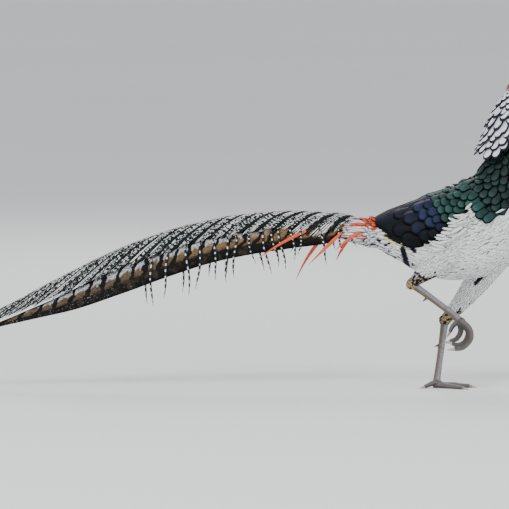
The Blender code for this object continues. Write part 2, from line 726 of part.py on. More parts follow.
# Orange-red spikes of the upper tail coverts: the x, y, z of the middle and of the tip
SPIKES = {
    -1: (
        ((-0.186, -0.0340, 0.2244), (-0.257, -0.0365, 0.1846)),
        ((-0.140, -0.0290, 0.2229), (-0.183, -0.0345, 0.1775)),
        ((-0.120, -0.0240, 0.2220), (-0.145, -0.0290, 0.1974)),
    ),
    1: (
        ((-0.175, 0.0340, 0.2020), (-0.200, 0.0365, 0.1505)),
        ((-0.132, 0.0270, 0.2030), (-0.143, 0.0300, 0.1775)),
        ((-0.165, 0.0330, 0.2280), (-0.232, 0.0360, 0.1960)),
    ),
}


def tail_cutter():
    """The whole outer shape of the tail's root half, a little swelled, to cut what lies over it."""
    shares = np.linspace(-1.15, 1.15, 15)
    rings = [[on_tail(t, share, -0.0009) for share in shares] for t in np.linspace(0, 6, 19)]
    return loft("cutter", rings, "leg_scales")


def rump():
    """The end of the body, with the short coverts and the long red spikes that lie over the tail's root."""
    made = body_loft("rump", TAIL_END, RUMP_START, "rump_plumage")
    vanes = []
    for row, (count, reach, lift) in enumerate(((5, 2.2, 0.0018), (4, 1.4, 0.0038))):
        pitch = math.radians(190) / count
        for i in range(count):
            angle = (i - (count - 1) / 2) * pitch

            def shape(u, v, angle=angle, pitch=pitch, reach=reach, lift=lift, row=row):
                turn = angle + u * pitch * 0.47 * taper(v, root=0.7)
                share = turn / TAIL_ARC
                start = on_body(1.8 - 0.1 * row, turn, -0.0010)
                middle = on_tail(0.5, share, -lift - 0.0050)
                end = on_tail(reach, share, -lift)
                return start.lerp(middle, v).lerp(middle.lerp(end, v), v)

            vanes.append(sheet("covert", shape, 1, 3, VANE, "rump_plumage", Vector((-0.12, 0, 0.215))))
    for side, rows in SPIKES.items():
        for i, (middle, end) in enumerate(rows):
            middle, end = Vector(middle), Vector(end)
            start = on_body(1.7, math.radians(mix(62, 94, i / 2)) * side, -0.0015)
            across = (end - start).cross(Vector((0, side, 0))).normalized()

            def shape(u, v, start=start, middle=middle, end=end, across=across):
                point = start.lerp(middle, v).lerp(middle.lerp(end, v), v)
                return point + across * (u * 0.0036 * (1 - 0.85 * v**1.6))

            vanes.append(sheet("spike", shape, 1, 4, 0.0008, "rump_plumage", Vector((-0.15, 0, 0.20))))
    apply_boolean(made, "UNION", vanes)
    plug = body_loft("cutter", 0, TAIL_END, "leg_scales", GAP, -GAP, GAP / 2)
    apply_boolean(made, "DIFFERENCE", [tail_cutter(), plug])


def torso():
    """The trunk, with the shaggy coverts that hang under the root of the tail."""
    made = body_loft("torso", RUMP_START, NECK_START, "green_plumage")
    vanes = []
    for count, root, tip, low in ((4, 4.5, 2.7, 0.0075), (4, 4.0, 1.9, 0.0058), (3, 3.6, 1.3, 0.0040)):
        pitch = math.radians(88) / count
        for i in range(count):
            angle = math.pi + (i - (count - 1) / 2) * pitch
            vanes.append(
                body_vane("covert", (root, angle, -0.0012, 0.0012), (tip, angle, low), (pitch * 0.9, pitch * 0.95), VANE,
                          "green_plumage", 3)
            )
    apply_boolean(made, "UNION", vanes)


def main():
    clear_scene()
    group = bpy.data.collections.new("pheasant")
    bpy.context.scene.collection.children.link(group)
    torso()
    rump()
    body_loft("neck", NECK_START, HEAD_START, "green_plumage")
    head()
    bill()
    crest()
    cape()
    for side, word in ((-1, "right"), (1, "left")):
        wing(side, word)
        leg(word)
    tail()


main()
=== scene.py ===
"""Looks of a ruffed cock pheasant: skin, feathers, scaled legs, horn, eyes and the stage.

Run as a script. Metres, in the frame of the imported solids: +X towards the bill, +Y to the bird's left, +Z up.
"""

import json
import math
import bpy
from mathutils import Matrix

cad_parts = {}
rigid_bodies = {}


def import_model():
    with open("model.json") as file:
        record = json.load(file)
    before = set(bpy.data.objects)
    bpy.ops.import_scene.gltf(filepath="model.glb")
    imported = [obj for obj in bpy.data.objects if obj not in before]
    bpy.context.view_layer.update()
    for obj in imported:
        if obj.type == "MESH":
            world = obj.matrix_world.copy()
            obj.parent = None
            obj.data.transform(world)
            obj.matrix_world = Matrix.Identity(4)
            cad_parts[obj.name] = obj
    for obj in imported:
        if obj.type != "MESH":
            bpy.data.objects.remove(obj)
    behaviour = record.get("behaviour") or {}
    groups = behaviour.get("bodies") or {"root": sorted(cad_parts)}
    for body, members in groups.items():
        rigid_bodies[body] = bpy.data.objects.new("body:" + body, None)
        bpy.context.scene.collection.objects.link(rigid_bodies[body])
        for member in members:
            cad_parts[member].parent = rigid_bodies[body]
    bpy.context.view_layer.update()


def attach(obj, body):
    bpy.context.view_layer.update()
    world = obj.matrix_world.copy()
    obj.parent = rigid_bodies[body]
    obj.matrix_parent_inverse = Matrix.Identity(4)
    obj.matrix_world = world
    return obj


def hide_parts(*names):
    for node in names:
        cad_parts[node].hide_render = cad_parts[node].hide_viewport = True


bl_info = {
    "name": "Ruffed pheasant",
    "version": (1, 0, 0),
    "blender": (4, 5, 0),
    "location": "View3D > Sidebar > Pheasant",
    "description": "Dresses the solids of a cock pheasant with skin, feathers, scales and horn",
    "category": "Object",
}

import bmesh
import bpy
import numpy as np
from mathutils import Matrix, Vector

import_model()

# The body's axis, from inside the tail to the bill: x, z, half height, half width
BODY = (
    (-0.146, 0.224, 0.0070, 0.0090), (-0.108, 0.222, 0.0130, 0.0150), (-0.092, 0.221, 0.0165, 0.0195),
    (-0.070, 0.221, 0.0280, 0.0310), (-0.045, 0.219, 0.0395, 0.0430), (-0.017, 0.216, 0.0520, 0.0510),
    (0.018, 0.216, 0.0620, 0.0560), (0.054, 0.226, 0.0670, 0.0570), (0.0857, 0.2475, 0.0690, 0.0550),
    (0.1044, 0.2757, 0.0635, 0.0490), (0.112, 0.3074, 0.0520, 0.0400), (0.115, 0.338, 0.0390, 0.0320),
    (0.118, 0.369, 0.0295, 0.0260), (0.129, 0.400, 0.0245, 0.0225), (0.141, 0.421, 0.0210, 0.0190),
    (0.157, 0.433, 0.0172, 0.0158), (0.169, 0.432, 0.0122, 0.0110), (0.1755, 0.4305, 0.0085, 0.0075),
)
LEAN = 0.10  # how much wider the belly is than the back, as a share
# How much higher the plumage stands over the rear of the back, at places on the axis
BACK_RISE = ((2.3, 0), (3.6, 0.0030), (4.7, 0.0070), (5.7, 0.0062), (6.6, 0.0030), (7.3, 0))
# How far the skin lies inside the body's outline, at places on its axis
COAT = (
    (0, 0.0030), (3, 0.0045), (6, 0.0065), (9, 0.0065), (12, 0.0040), (13.5, 0.0020), (15, 0.0012),
    (17, 0.0003),
)

# Ridge of the tail from its root to its tip: x, z, depth below the ridge, half width
TAIL = (
    (-0.111, 0.2310, 0.018, 0.010), (-0.125, 0.2400, 0.030, 0.014), (-0.150, 0.2480, 0.044, 0.020),
    (-0.199, 0.2530, 0.054, 0.025), (-0.262, 0.2505, 0.060, 0.028), (-0.330, 0.2390, 0.062, 0.030),
    (-0.400, 0.2190, 0.064, 0.030), (-0.470, 0.1910, 0.062, 0.028), (-0.540, 0.1560, 0.052, 0.024),
    (-0.600, 0.1240, 0.035, 0.017), (-0.650, 0.0980, 0.021, 0.012), (-0.692, 0.0790, 0.013, 0.008),
    (-0.722, 0.0680, 0.009, 0.006),
)
TAIL_ARC = math.radians(100)
SWELL = 0.62  # how far down a feather it is widest
OVERLAP = 2.2  # length of a scale-like feather, in spacings of its rows
THIGH_COAT = 0.0035  # how far the skin lies inside the outline of the thighs

SIDES = ((-1, "right"), (1, "left"))
EYE_RADIUS = 0.0054
EYE_SPOT = (0.1570, 0.0128, 0.4352)

# Feathered thighs, shanks and toes: x, y, z, radius
THIGHS = {
    "right": (
        (0.030, -0.030, 0.208, 0.0270), (0.002, -0.037, 0.186, 0.0215), (-0.020, -0.036, 0.166, 0.0125),
        (-0.034, -0.034, 0.153, 0.0070),
    ),
    "left": (
        (0.086, 0.030, 0.196, 0.0270), (0.066, 0.036, 0.160, 0.0200), (0.040, 0.031, 0.125, 0.0135),
        (0.014, 0.024, 0.096, 0.0078),
    ),
}
SHANKS = {
    "right": (
        (-0.037, -0.034, 0.1510, 0.0062), (-0.026, -0.0335, 0.1430, 0.0052),
        (0.000, -0.032, 0.1240, 0.0047), (0.022, -0.031, 0.1070, 0.0048), (0.031, -0.030, 0.0990, 0.0056),
    ),
    "left": (
        (0.0125, 0.0240, 0.0950, 0.0064), (0.0105, 0.0205, 0.0800, 0.0053),
        (0.0055, 0.0115, 0.0450, 0.0047), (0.0015, 0.0035, 0.0180, 0.0050),
        (0.0000, 0.0000, 0.0090, 0.0056),
    ),
}
SHANK_FLAT = 0.78
HOCK_RADIUS = 0.0075
PADS = {"right": (0.0335, -0.030, 0.0965, 0.0066), "left": (0.001, 0.000, 0.0055, 0.0075)}
TOES = {
    "right": (
        (
            (0.033, -0.034, 0.0980, 0.0048), (0.045, -0.037, 0.0870, 0.0042),
            (0.0465, -0.038, 0.0730, 0.0041), (0.036, -0.038, 0.0610, 0.0037),
            (0.024, -0.038, 0.0585, 0.0030),
        ),
        (
            (0.033, -0.030, 0.0960, 0.0046), (0.0435, -0.029, 0.0830, 0.0041),
            (0.040, -0.028, 0.0690, 0.0038), (0.030, -0.028, 0.0635, 0.0033),
            (0.021, -0.028, 0.0655, 0.0028),
        ),
        (
            (0.031, -0.026, 0.0960, 0.0046), (0.0335, -0.022, 0.0830, 0.0040),
            (0.028, -0.020, 0.0720, 0.0036), (0.019, -0.019, 0.0680, 0.0029),
        ),
        (
            (0.030, -0.029, 0.0980, 0.0042), (0.022, -0.026, 0.0900, 0.0034),
            (0.018, -0.025, 0.0820, 0.0027),
        ),
    ),
    "left": (
        (
            (0.001, 0.000, 0.0040, 0.0052), (0.018, 0.001, 0.0033, 0.0044), (0.034, 0.001, 0.0028, 0.0037),
            (0.047, 0.001, 0.0023, 0.0030),
        ),
        (
            (0.001, -0.001, 0.0040, 0.0050), (0.015, -0.010, 0.0030, 0.0041),
            (0.027, -0.019, 0.0026, 0.0034), (0.036, -0.026, 0.0021, 0.0027),
        ),
        (
            (0.001, 0.001, 0.0040, 0.0050), (0.013, 0.012, 0.0030, 0.0041), (0.023, 0.023, 0.0026, 0.0034),
            (0.030, 0.032, 0.0021, 0.0027),
        ),
        (
            (-0.002, -0.002, 0.0080, 0.0042), (-0.010, -0.006, 0.0052, 0.0033),
            (-0.017, -0.010, 0.0024, 0.0026),
        ),
    ),
}
SCUTE_RELIEF = 0.00034
CLAW_LENGTH = 0.011
CLAW_GAP = 0.0003
CLAW_ROOT = 0.78  # a claw's radius at its root, as a share of the toe's
CLAW_POINT = 0.15  # and at its point, as a share of that
CLAW_BEND = 0.0012  # how far the point of a lifted claw curls up
SPUR_PLACE = 1.55  # down the rows of the shank
SPUR_LENGTH, SPUR_RADIUS = 0.012, 0.0032


# Shapes along curves


def between(rows, t):
    """Rows of values at places t, on a smooth curve through the rows."""
    rows = np.asarray(rows, float)
    t = np.clip(np.asarray(t, float), 0, len(rows) - 1)
    i = np.minimum(t.astype(int), len(rows) - 2)
    f = (t - i)[..., None]
    a, b, c, d = rows[np.maximum(i - 1, 0)], rows[i], rows[i + 1], rows[np.minimum(i + 2, len(rows) - 1)]
    return 0.5 * (2 * b + (c - a) * f + (2 * a - 5 * b + 4 * c - d) * f**2 + (3 * b - a - 3 * c + d) * f**3)


def axis_frame(rows, t):
    """Centres, directions, metres per step and other values, at places t of rows that start with x and z."""
    t = np.asarray(t, float)
    step = 0.02
    low = np.clip(t - step, 0, len(rows) - 1 - 2 * step)
    here, before, after = between(rows, t), between(rows, low), between(rows, low + 2 * step)
    along = (after - before)[..., :2]
    length = np.linalg.norm(along, axis=-1)
    along = along / length[..., None]
    return here[..., :2], along, length / (2 * step), here[..., 2:]


def off_axis(centre, along, rise, out):
    """Points over an axis that lies in x and z, and out to its side."""
    return np.stack(
        [centre[..., 0] - along[..., 1] * rise, out, centre[..., 1] + along[..., 0] * rise], axis=-1
    )


def on_body(t, angle, lift=0.0):
    """Points over the body: angle 0 is the back, +90 degrees the left side and 180 the belly."""
    centre, along, _, size = axis_frame(BODY, t)
    up = (size[..., 0] + lift) * np.cos(angle)
    up = up + at(BACK_RISE, t) * np.clip(np.cos(angle), 0, 1) ** 2
    out = (size[..., 1] + lift) * np.sin(angle) * (1 - LEAN * np.cos(angle))
    return off_axis(centre, along, up, out)


def body_reach(t, angle):
    """Metres along the body for one radian of angle."""
    size = axis_frame(BODY, t)[3]
    return np.hypot(size[..., 0] * np.sin(angle), size[..., 1] * np.cos(angle))


def on_tail(t, share, level=0.0):
    """Points on the tail's roof: share runs from -1 to 1 across it, and level is the depth under it."""
    centre, along, _, size = axis_frame(TAIL, t)
    bow = size[..., 0] / (1 - math.cos(TAIL_ARC))
    angle = share * TAIL_ARC
    rise = (bow - level) * np.cos(angle) - bow
    out = (size[..., 1] - level) * np.sin(angle)
    return off_axis(centre, along, -rise, out)


def steps(rows, start, end, pace):
    """Places from start to end along the rows, each pace(t) metres past the one before."""
    places, t = [], start
    while t < end:
        places.append(t)
        t += pace(t) / float(axis_frame(rows, t)[2])
    return places


def at(table, place):
    """Value of a table of two columns at a place in its first."""
    return np.interp(place, *zip(*table))


def mix(a, b, v):
    return a + (b - a) * v


def smooth(low, high, value):
    s = np.clip((value - low) / (high - low), 0, 1)
    return s * s * (3 - 2 * s)


def taper(v, root=0.4, point=0.05, swell=SWELL):
    """Width of a vane along it, as a share of its widest: a narrow root and a rounded tip."""
    rising = root + (1 - root) * np.sin(np.pi / 2 * np.clip(v / swell, 0, 1))
    falling = point + (1 - point) * np.sqrt(np.clip(1 - (np.clip(v - swell, 0, 1) / (1 - swell)) ** 2, 0, 1))
    return np.where(v < swell, rising, falling)


def vane_reach(u, v, swell=SWELL):
    """How near its outline each corner of a vane is: 0 on the shaft, 1 on the outline."""
    past = np.clip((v - swell) / (1 - swell), 0, 1)
    return np.sqrt(u**2 * (1 - past**2) + past**2)


# Meshes


def own(mesh, name, material, replaces=()):
    """Makes the mesh a piece of the pheasant, with its finish and the solids that it stands for."""
    obj = bpy.data.objects.new(name, mesh)
    bpy.context.scene.collection.objects.link(obj)
    mesh.materials.clear()
    mesh.materials.append(material)
    mesh.shade_smooth()
    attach(obj, "root")
    if replaces:
        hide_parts(*replaces)


def mesh_of(bm, name):
    """Ends the bmesh and gives its mesh."""
    mesh = bpy.data.meshes.new(name)
    bm.to_mesh(mesh)
    bm.free()
    return mesh


def vane_template(across, along, crowd=0.0):
    """A flat closed vane: two grids joined at their rims. Gives u, v and side of each corner, and the faces.
    With crowd the rows stand closer towards the tip."""
    bm = bmesh.new()
    for side in (0.5, -0.5):
        corners = bmesh.ops.create_grid(bm, x_segments=across, y_segments=along, size=1)["verts"]
        for vert in corners:
            if max(abs(vert.co.x), abs(vert.co.y)) < 0.999:
                vert.co.z = side
        if side < 0:
            bmesh.ops.reverse_faces(bm, faces=list({face for vert in corners for face in vert.link_faces}))
    bmesh.ops.remove_doubles(bm, verts=bm.verts[:], dist=1e-4)
    bm.verts.index_update()
    points = np.array([vert.co for vert in bm.verts])
    faces = np.array([[vert.index for vert in face.verts] for face in bm.faces])
    bm.free()
    v = (points[:, 1] + 1) / 2
    return points[:, 0], mix(v, np.sin(np.pi / 2 * v), crowd), points[:, 2] * 2, faces


def feather_mesh(name, template, points, inner, edge, cells=None, web=None, swell=SWELL):
    """One mesh of many vanes. points holds each vane's corners, inner and edge its colours or those of its
    corners, and cells the corner and size of its patch on the unwrap of the surface that carries it."""
    u, v, _, faces = template
    count, corners, _ = points.shape
    a, b, c, d = np.moveaxis(points[:, faces], 2, 0)
    normal = np.cross(b - a, c - a) + np.cross(c - a, d - a)
    volume = (normal * (a - points.mean(axis=1)[:, None])).sum(axis=(1, 2))
    order = np.where((volume < 0)[:, None, None], faces[None, :, ::-1], faces[None])
    order = order + (np.arange(count) * corners)[:, None, None]
    mesh = bpy.data.meshes.new(name)
    mesh.from_pydata(points.reshape(-1, 3), [], order.reshape(-1, 4))
    flat = np.stack([np.tile((u + 1) / 2, count), np.tile(v, count)], axis=-1)
    add_map(mesh, "Feather", flat)
    if web is not None:
        add_map(mesh, "Web", web)
    if cells is not None:
        low, size = [np.broadcast_to(each, (count, 2)).repeat(corners, axis=0) for each in cells]
        add_map(mesh, "OFBake", low + flat * size)
    for title, colours in (("Inner", inner), ("Edge", edge)):
        if np.ndim(colours) < 3:
            colours = np.broadcast_to(colours, (count, 3)).repeat(corners, axis=0)
        paint(mesh, title, np.reshape(colours, (-1, 3)))
    reach = mesh.attributes.new("Reach", "FLOAT", "POINT")
    reach.data.foreach_set("value", np.tile(vane_reach(u, v, swell), count))
    mesh.update()
    return mesh


def add_map(mesh, title, flat):
    """Gives the mesh a UV map, from one place for each vertex."""
    corner = np.empty(len(mesh.loops), np.int32)
    mesh.loops.foreach_get("vertex_index", corner)
    layer = mesh.uv_layers.new(name=title)
    layer.data.foreach_set("uv", flat.reshape(-1, 2)[corner].ravel())


def grid_cells(row, column, rows, columns):
    """Patches in the order of the rows and columns, as on an unwrap of the skin."""
    row, column = np.asarray(row, float), np.asarray(column, float)
    low = np.stack([(column + 0.06) / columns, (row + 0.06) / rows], axis=-1)
    return low, np.array([[0.88 / columns, 0.88 / rows]])


def loft_mesh(bm, rings):
    """Adds a tube through the rings to the bmesh, with its ends closed."""
    loops = [[bm.verts.new(point) for point in ring] for ring in rings]
    for low, high in zip(loops, loops[1:]):
        for i in range(len(low)):
            j = (i + 1) % len(low)
            bm.faces.new((low[i], low[j], high[j], high[i]))
    bm.faces.new(loops[0][::-1])
    bm.faces.new(loops[-1])


def tube_rings(path, sides, samples, flat=1.0, ridge=None):
    """Rings of a limb through rows of x, y, z and radius. ridge gives its relief from run and angle."""
    rows = np.asarray(path, float)
    places = np.linspace(0, len(rows) - 1, (len(rows) - 1) * samples + 1)
    run = limb_run(rows, places)
    turns = np.linspace(0, 2 * np.pi, sides, endpoint=False)
    rings = []
    for t, metres in zip(places, run):
        relief = ridge(metres, turns) if ridge else 0.0
        rings.append(on_limb(rows, np.full(sides, t), turns, relief, flat))
    return rings


def limb_run(rows, places):
    """Metres along a limb's middle at places on its rows, from the first place."""
    middle = between(rows, places)[:, :3]
    return np.concatenate([[0], np.cumsum(np.linalg.norm(np.diff(middle, axis=0), axis=1))])


def limb_frame(rows, t):
    """Middle, direction, front and left side of a limb at places t, and its radius."""
    last = len(rows) - 1
    here = between(rows, t)
    along = (between(rows, np.minimum(t + 0.05, last)) - between(rows, np.maximum(t - 0.05, 0)))[..., :3]
    along = along / np.linalg.norm(along, axis=-1, keepdims=True)
    side = np.array((0.0, 1.0, 0.0)) - along * along[..., 1:2]
    side = side / np.linalg.norm(side, axis=-1, keepdims=True)
    return here[..., :3], along, np.cross(along, side), side, here[..., 3]


def on_limb(rows, t, angle, lift=0.0, flat=1.0):
    """Points over a limb: angle 0 is its front and +90 degrees its left side."""
    middle, _, front, side, radius = limb_frame(rows, t)
    reach = (radius + lift)[..., None]
    return middle + reach * (front * np.cos(angle)[..., None] + side * flat * np.sin(angle)[..., None])


def remeshed(bm, name, voxel, turns=2):
    """One closed surface round all the shapes in the bmesh, smoothed."""
    bmesh.ops.recalc_face_normals(bm, faces=bm.faces)
    helper = bpy.data.objects.new(name, mesh_of(bm, name))
    bpy.context.scene.collection.objects.link(helper)
    modifier = helper.modifiers.new("voxels", "REMESH")
    modifier.mode = "VOXEL"
    modifier.voxel_size = voxel
    made = bpy.data.meshes.new_from_object(helper.evaluated_get(bpy.context.evaluated_depsgraph_get()))
    bpy.data.objects.remove(helper)
    bm = bmesh.new()
    bm.from_mesh(made)
    axes = dict.fromkeys(("use_axis_x", "use_axis_y", "use_axis_z"), True)
    for _ in range(turns):
        bmesh.ops.smooth_vert(bm, verts=bm.verts, factor=0.5, **axes)
    bm.to_mesh(made)
    bm.free()
    made.name = name
    return made


def paint(mesh, title, colours):
    attribute = mesh.attributes.new(title, "FLOAT_COLOR", "POINT")
    attribute.data.foreach_set("color", np.column_stack([colours, np.ones(len(colours))]).ravel())


def corners_of(mesh):
    places = np.empty(len(mesh.vertices) * 3)
    mesh.vertices.foreach_get("co", places)
    return places.reshape(-1, 3)


# Materials


def node(tree, kind, sockets=None, **settings):
    """Adds a node. sockets gives the value of each input, or the output that is linked to it."""
    made = tree.nodes.new(kind)
    for key, value in settings.items():
        setattr(made, key, value)
    for key, value in (sockets or {}).items():
        if isinstance(value, bpy.types.NodeSocket):
            tree.links.new(value, made.inputs[key])
        else:
            made.inputs[key].default_value = value
    return made


def maths(tree, operation, a, b=0.0, c=0.0):
    return node(tree, "ShaderNodeMath", {0: a, 1: b, 2: c}, operation=operation).outputs[0]


def times(tree, a, b):
    return maths(tree, "MULTIPLY", a, b)


def vectors(tree, operation, a, b):
    return node(tree, "ShaderNodeVectorMath", {0: a, 1: b}, operation=operation).outputs[0]


def ramp(tree, value, low, high, start=0.0, end=1.0):
    """The value taken smoothly from one range to another."""
    sockets = {"Value": value, "From Min": low, "From Max": high, "To Min": start, "To Max": end}
    return node(tree, "ShaderNodeMapRange", sockets, interpolation_type="SMOOTHSTEP").outputs["Result"]


def blend_colours(tree, factor, a, b, mode="MIX"):
    a, b = [value if isinstance(value, bpy.types.NodeSocket) else (*value, 1) for value in (a, b)]
    return node(tree, "ShaderNodeMix", {0: factor, 6: a, 7: b}, data_type="RGBA", blend_type=mode).outputs[2]


def place_of(tree):
    return node(tree, "ShaderNodeTexCoord").outputs["Object"]


def noise(tree, scale, detail=2.0, place=None):
    sockets = {"Vector": place or place_of(tree), "Scale": scale, "Detail": detail}
    return node(tree, "ShaderNodeTexNoise", sockets).outputs["Fac"]


def web_of(tree):
    """The two numbers of the tail's own map: the run along it and the share across it."""
    web = node(tree, "ShaderNodeUVMap", uv_map="Web").outputs[0]
    return node(tree, "ShaderNodeSeparateXYZ", {0: web}).outputs[:2]


def attribute(tree, name, output="Color"):
    return node(tree, "ShaderNodeAttribute", attribute_name=name, attribute_type="GEOMETRY").outputs[output]


def new_group(name, inputs, outputs):
    """An empty group. inputs gives the usual value of each number, and None for a vector."""
    group = bpy.data.node_groups.new(name, "ShaderNodeTree")
    for title, value in inputs.items():
        kind = "NodeSocketVector" if value is None else "NodeSocketFloat"
        socket = group.interface.new_socket(title, in_out="INPUT", socket_type=kind)
        if value is not None:
            socket.default_value = value
    for title in outputs:
        group.interface.new_socket(title, in_out="OUTPUT", socket_type="NodeSocketFloat")
    return group, group.nodes.new("NodeGroupInput").outputs, group.nodes.new("NodeGroupOutput")


def vane_marks():
    """Group that reads a vane's own map: its rim, shaft, ridges of barbs and the shade at its root."""
    inputs = {"Map": None, "Reach": 0.0, "Rim": 0.84, "Softness": 0.05, "Barbs": 40.0, "Root Shade": 0.6}
    marks = ("Rim", "Shaft", "Barb Height", "Shade")
    group, start, end = new_group("Vane marks", inputs, marks)
    across, along = node(group, "ShaderNodeSeparateXYZ", {0: start["Map"]}).outputs[:2]
    side = maths(group, "ABSOLUTE", maths(group, "MULTIPLY_ADD", across, 2.0, -1.0))
    rim_end = maths(group, "ADD", start["Rim"], start["Softness"])
    rim = times(group, ramp(group, start["Reach"], start["Rim"], rim_end), ramp(group, along, 0.25, 0.45))
    phase = times(group, maths(group, "MULTIPLY_ADD", side, -0.35, along), start["Barbs"])
    barbs = maths(group, "SINE", times(group, phase, 2 * math.pi))
    shaft = ramp(group, side, 0.03, 0.09, 1.0, 0.0)
    height = maths(group, "MULTIPLY_ADD", barbs, 0.5, 0.5)
    shade = ramp(group, along, 0.45, 0.85, start["Root Shade"], 1.0)
    for title, value in zip(marks, (rim, shaft, height, shade)):
        group.links.new(value, end.inputs[title])
    return group


def mottle():
    """Group of soft uneven shading, as where plumage is ruffled or dusty."""
    group, start, end = new_group("Mottle", {"Size": 60.0, "Strength": 0.25}, ("Shade",))
    centred = maths(group, "SUBTRACT", noise(group, start["Size"], 3.0), 0.5)
    group.links.new(maths(group, "MULTIPLY_ADD", centred, start["Strength"], 1.0), end.inputs["Shade"])
    return group


def placed(tree, title, build, sockets):
    """Places the group of that name in a material. The first one that needs it has it built."""
    group = bpy.data.node_groups.get(title) or build()
    return node(tree, "ShaderNodeGroup", sockets, node_tree=group).outputs


def principled(name, roughness=0.5, metallic=0.0, specular=0.5, **more):
    made = bpy.data.materials.new(name)
    made.use_nodes = True
    shader = made.node_tree.nodes["Principled BSDF"]
    values = {"Roughness": roughness, "Metallic": metallic, "Specular_IOR_Level": specular, **more}
    for key, value in values.items():
        shader.inputs[key.replace("_", " ")].default_value = value
    return made, made.node_tree, shader


def shaded(tree, colour, size=60.0, strength=0.3):
    shade = placed(tree, "Mottle", mottle, {"Size": size, "Strength": strength})["Shade"]
    return dimmed(tree, colour, shade)


def dimmed(tree, colour, shade):
    tone = node(tree, "ShaderNodeCombineColor", {0: shade, 1: shade, 2: shade}).outputs[0]
    return blend_colours(tree, 1.0, colour, tone, "MULTIPLY")


def finished(tree, shader, colour, height=None, strength=0.2, distance=0.0003):
    """Gives the shader its colour and its relief."""
    tree.links.new(colour, shader.inputs["Base Color"])
    if height:
        bump = node(tree, "ShaderNodeBump", {"Height": height, "Strength": strength, "Distance": distance})
        tree.links.new(bump.outputs["Normal"], shader.inputs["Normal"])


def feather_material(
    name, rim, soft=0.05, barbs=40.0, shaft=0.0, root=0.6, strength=0.3, bump=0.25, **finish
):
    """A vane: its own inner colour, a rim, a paler shaft, fine barbs, and some shade towards the root."""
    made, tree, shader = principled(name, **finish)
    vane_map = node(tree, "ShaderNodeUVMap", uv_map="Feather").outputs[0]
    sockets = {"Map": vane_map, "Reach": attribute(tree, "Reach", "Fac"), "Rim": rim, "Softness": soft}
    sockets |= {"Barbs": barbs, "Root Shade": root}
    marks = placed(tree, "Vane marks", vane_marks, sockets)
    colour = blend_colours(tree, marks["Rim"], attribute(tree, "Inner"), attribute(tree, "Edge"))
    colour = blend_colours(tree, times(tree, marks["Shaft"], shaft), colour, (0.5, 0.5, 0.48))
    colour = shaded(tree, dimmed(tree, colour, marks["Shade"]), strength=strength)
    finished(tree, shader, colour, marks["Barb Height"], bump)
    return made


# The coat of the body


def body_vanes(template, root, tip, width, low, high, thick=0.0005, camber=0.0012, swell=SWELL, base=0.4):
    """Corners of vanes over the body. root and tip give each one's place and angle, width its widest in
    metres, and low and high its height over the body's outline at its two ends."""
    u, v, w, _ = template
    u, v, w = u[None], v[None], w[None]
    (t0, a0), (t1, a1) = [[np.asarray(x, float)[:, None] for x in end] for end in (root, tip)]
    width, low, high = [np.broadcast_to(np.asarray(x, float), len(t0))[:, None] for x in (width, low, high)]
    t = mix(t0, t1, v)
    angle = mix(a0, a1, v)
    wide = taper(v, base, swell=swell)
    angle = angle + u * 0.5 * width * wide / np.maximum(body_reach(t, angle), 0.004)
    rise = mix(low, high, v**0.8) + camber * (1 - u**2) * wide + w * thick / 2
    return on_body(t, angle, rise)


def coat_depth(t):
    return at(COAT, t)


def colour_setting(name, description, default):
    return bpy.props.FloatVectorProperty(name=name, description=description, subtype="COLOR", default=default)


def length_setting(name, description, default, least):
    return bpy.props.FloatProperty(
        name=name, description=description, unit="LENGTH", default=default, min=least
    )


class PlumageSettings(bpy.types.PropertyGroup):
    mantle: colour_setting("Mantle", "Feathers of the neck, breast and back", (0.016, 0.052, 0.046))
    mantle_rim: colour_setting("Mantle rim", "Dark rim of each mantle feather", (0.003, 0.006, 0.008))
    belly: colour_setting("Belly", "Belly, flanks and thighs", (0.80, 0.81, 0.80))
    wing: colour_setting("Wing", "Closed wing", (0.013, 0.022, 0.058))
    flight: colour_setting("Flight feathers", "Rear of the closed wing", (0.011, 0.010, 0.026))
    under_wing: colour_setting("Under the wing", "Thin line along the wing's edge", (0.72, 0.64, 0.36))
    rump: colour_setting("Rump", "Feathers between the tips of the wings", (0.60, 0.34, 0.06))
    hock: colour_setting("Hock", "Lowest feathers of the thighs", (0.36, 0.28, 0.16))
    face: colour_setting("Face", "Feathers of the face and throat", (0.005, 0.007, 0.008))
    crown: colour_setting("Crown", "Feathers of the crown", (0.010, 0.060, 0.036))
    bare_skin: colour_setting("Bare skin", "Skin round the eyes", (0.34, 0.55, 0.56))
    cape: colour_setting("Cape", "Hackles of the nape", (0.80, 0.81, 0.86))
    cape_rim: colour_setting("Cape rim", "Dark rim of each hackle", (0.006, 0.008, 0.020))
    crest: colour_setting("Crest", "Silky plumes of the hind crown", (0.40, 0.008, 0.012))
    covert_tip: colour_setting("Covert tip", "Pointed tips over the tail", (0.78, 0.085, 0.018))


class TailSettings(bpy.types.PropertyGroup):
    bar_pitch: length_setting("Bar pitch", "From one dark bar of the tail to the next", 0.0215, 0.01)
    bar_share: bpy.props.FloatProperty(
        name="Bar share", description="Share of the pitch that is dark", subtype="FACTOR",
        default=0.42, min=0.1, max=0.8,
    )
    barbs: bpy.props.IntProperty(
        name="Barbs", description="Groups of barbs along each side of the centre pair", default=210, min=60
    )
    white: colour_setting("White", "Pale ground of the tail", (0.72, 0.72, 0.70))
    dark: colour_setting("Dark", "Bars of the tail", (0.004, 0.010, 0.011))
    silver: colour_setting("Silver", "Pale spots between the bars of the side feathers", (0.46, 0.46, 0.48))
    # Colour of the side feathers' dark bars and streaks, and also of the painted shade along the tail's
    # underside
    lower: colour_setting("Lower edge", "Dark lower web of the tail", (0.007, 0.0065, 0.006))
    buff: colour_setting("Buff", "Lower web of the tail", (0.215, 0.130, 0.058))


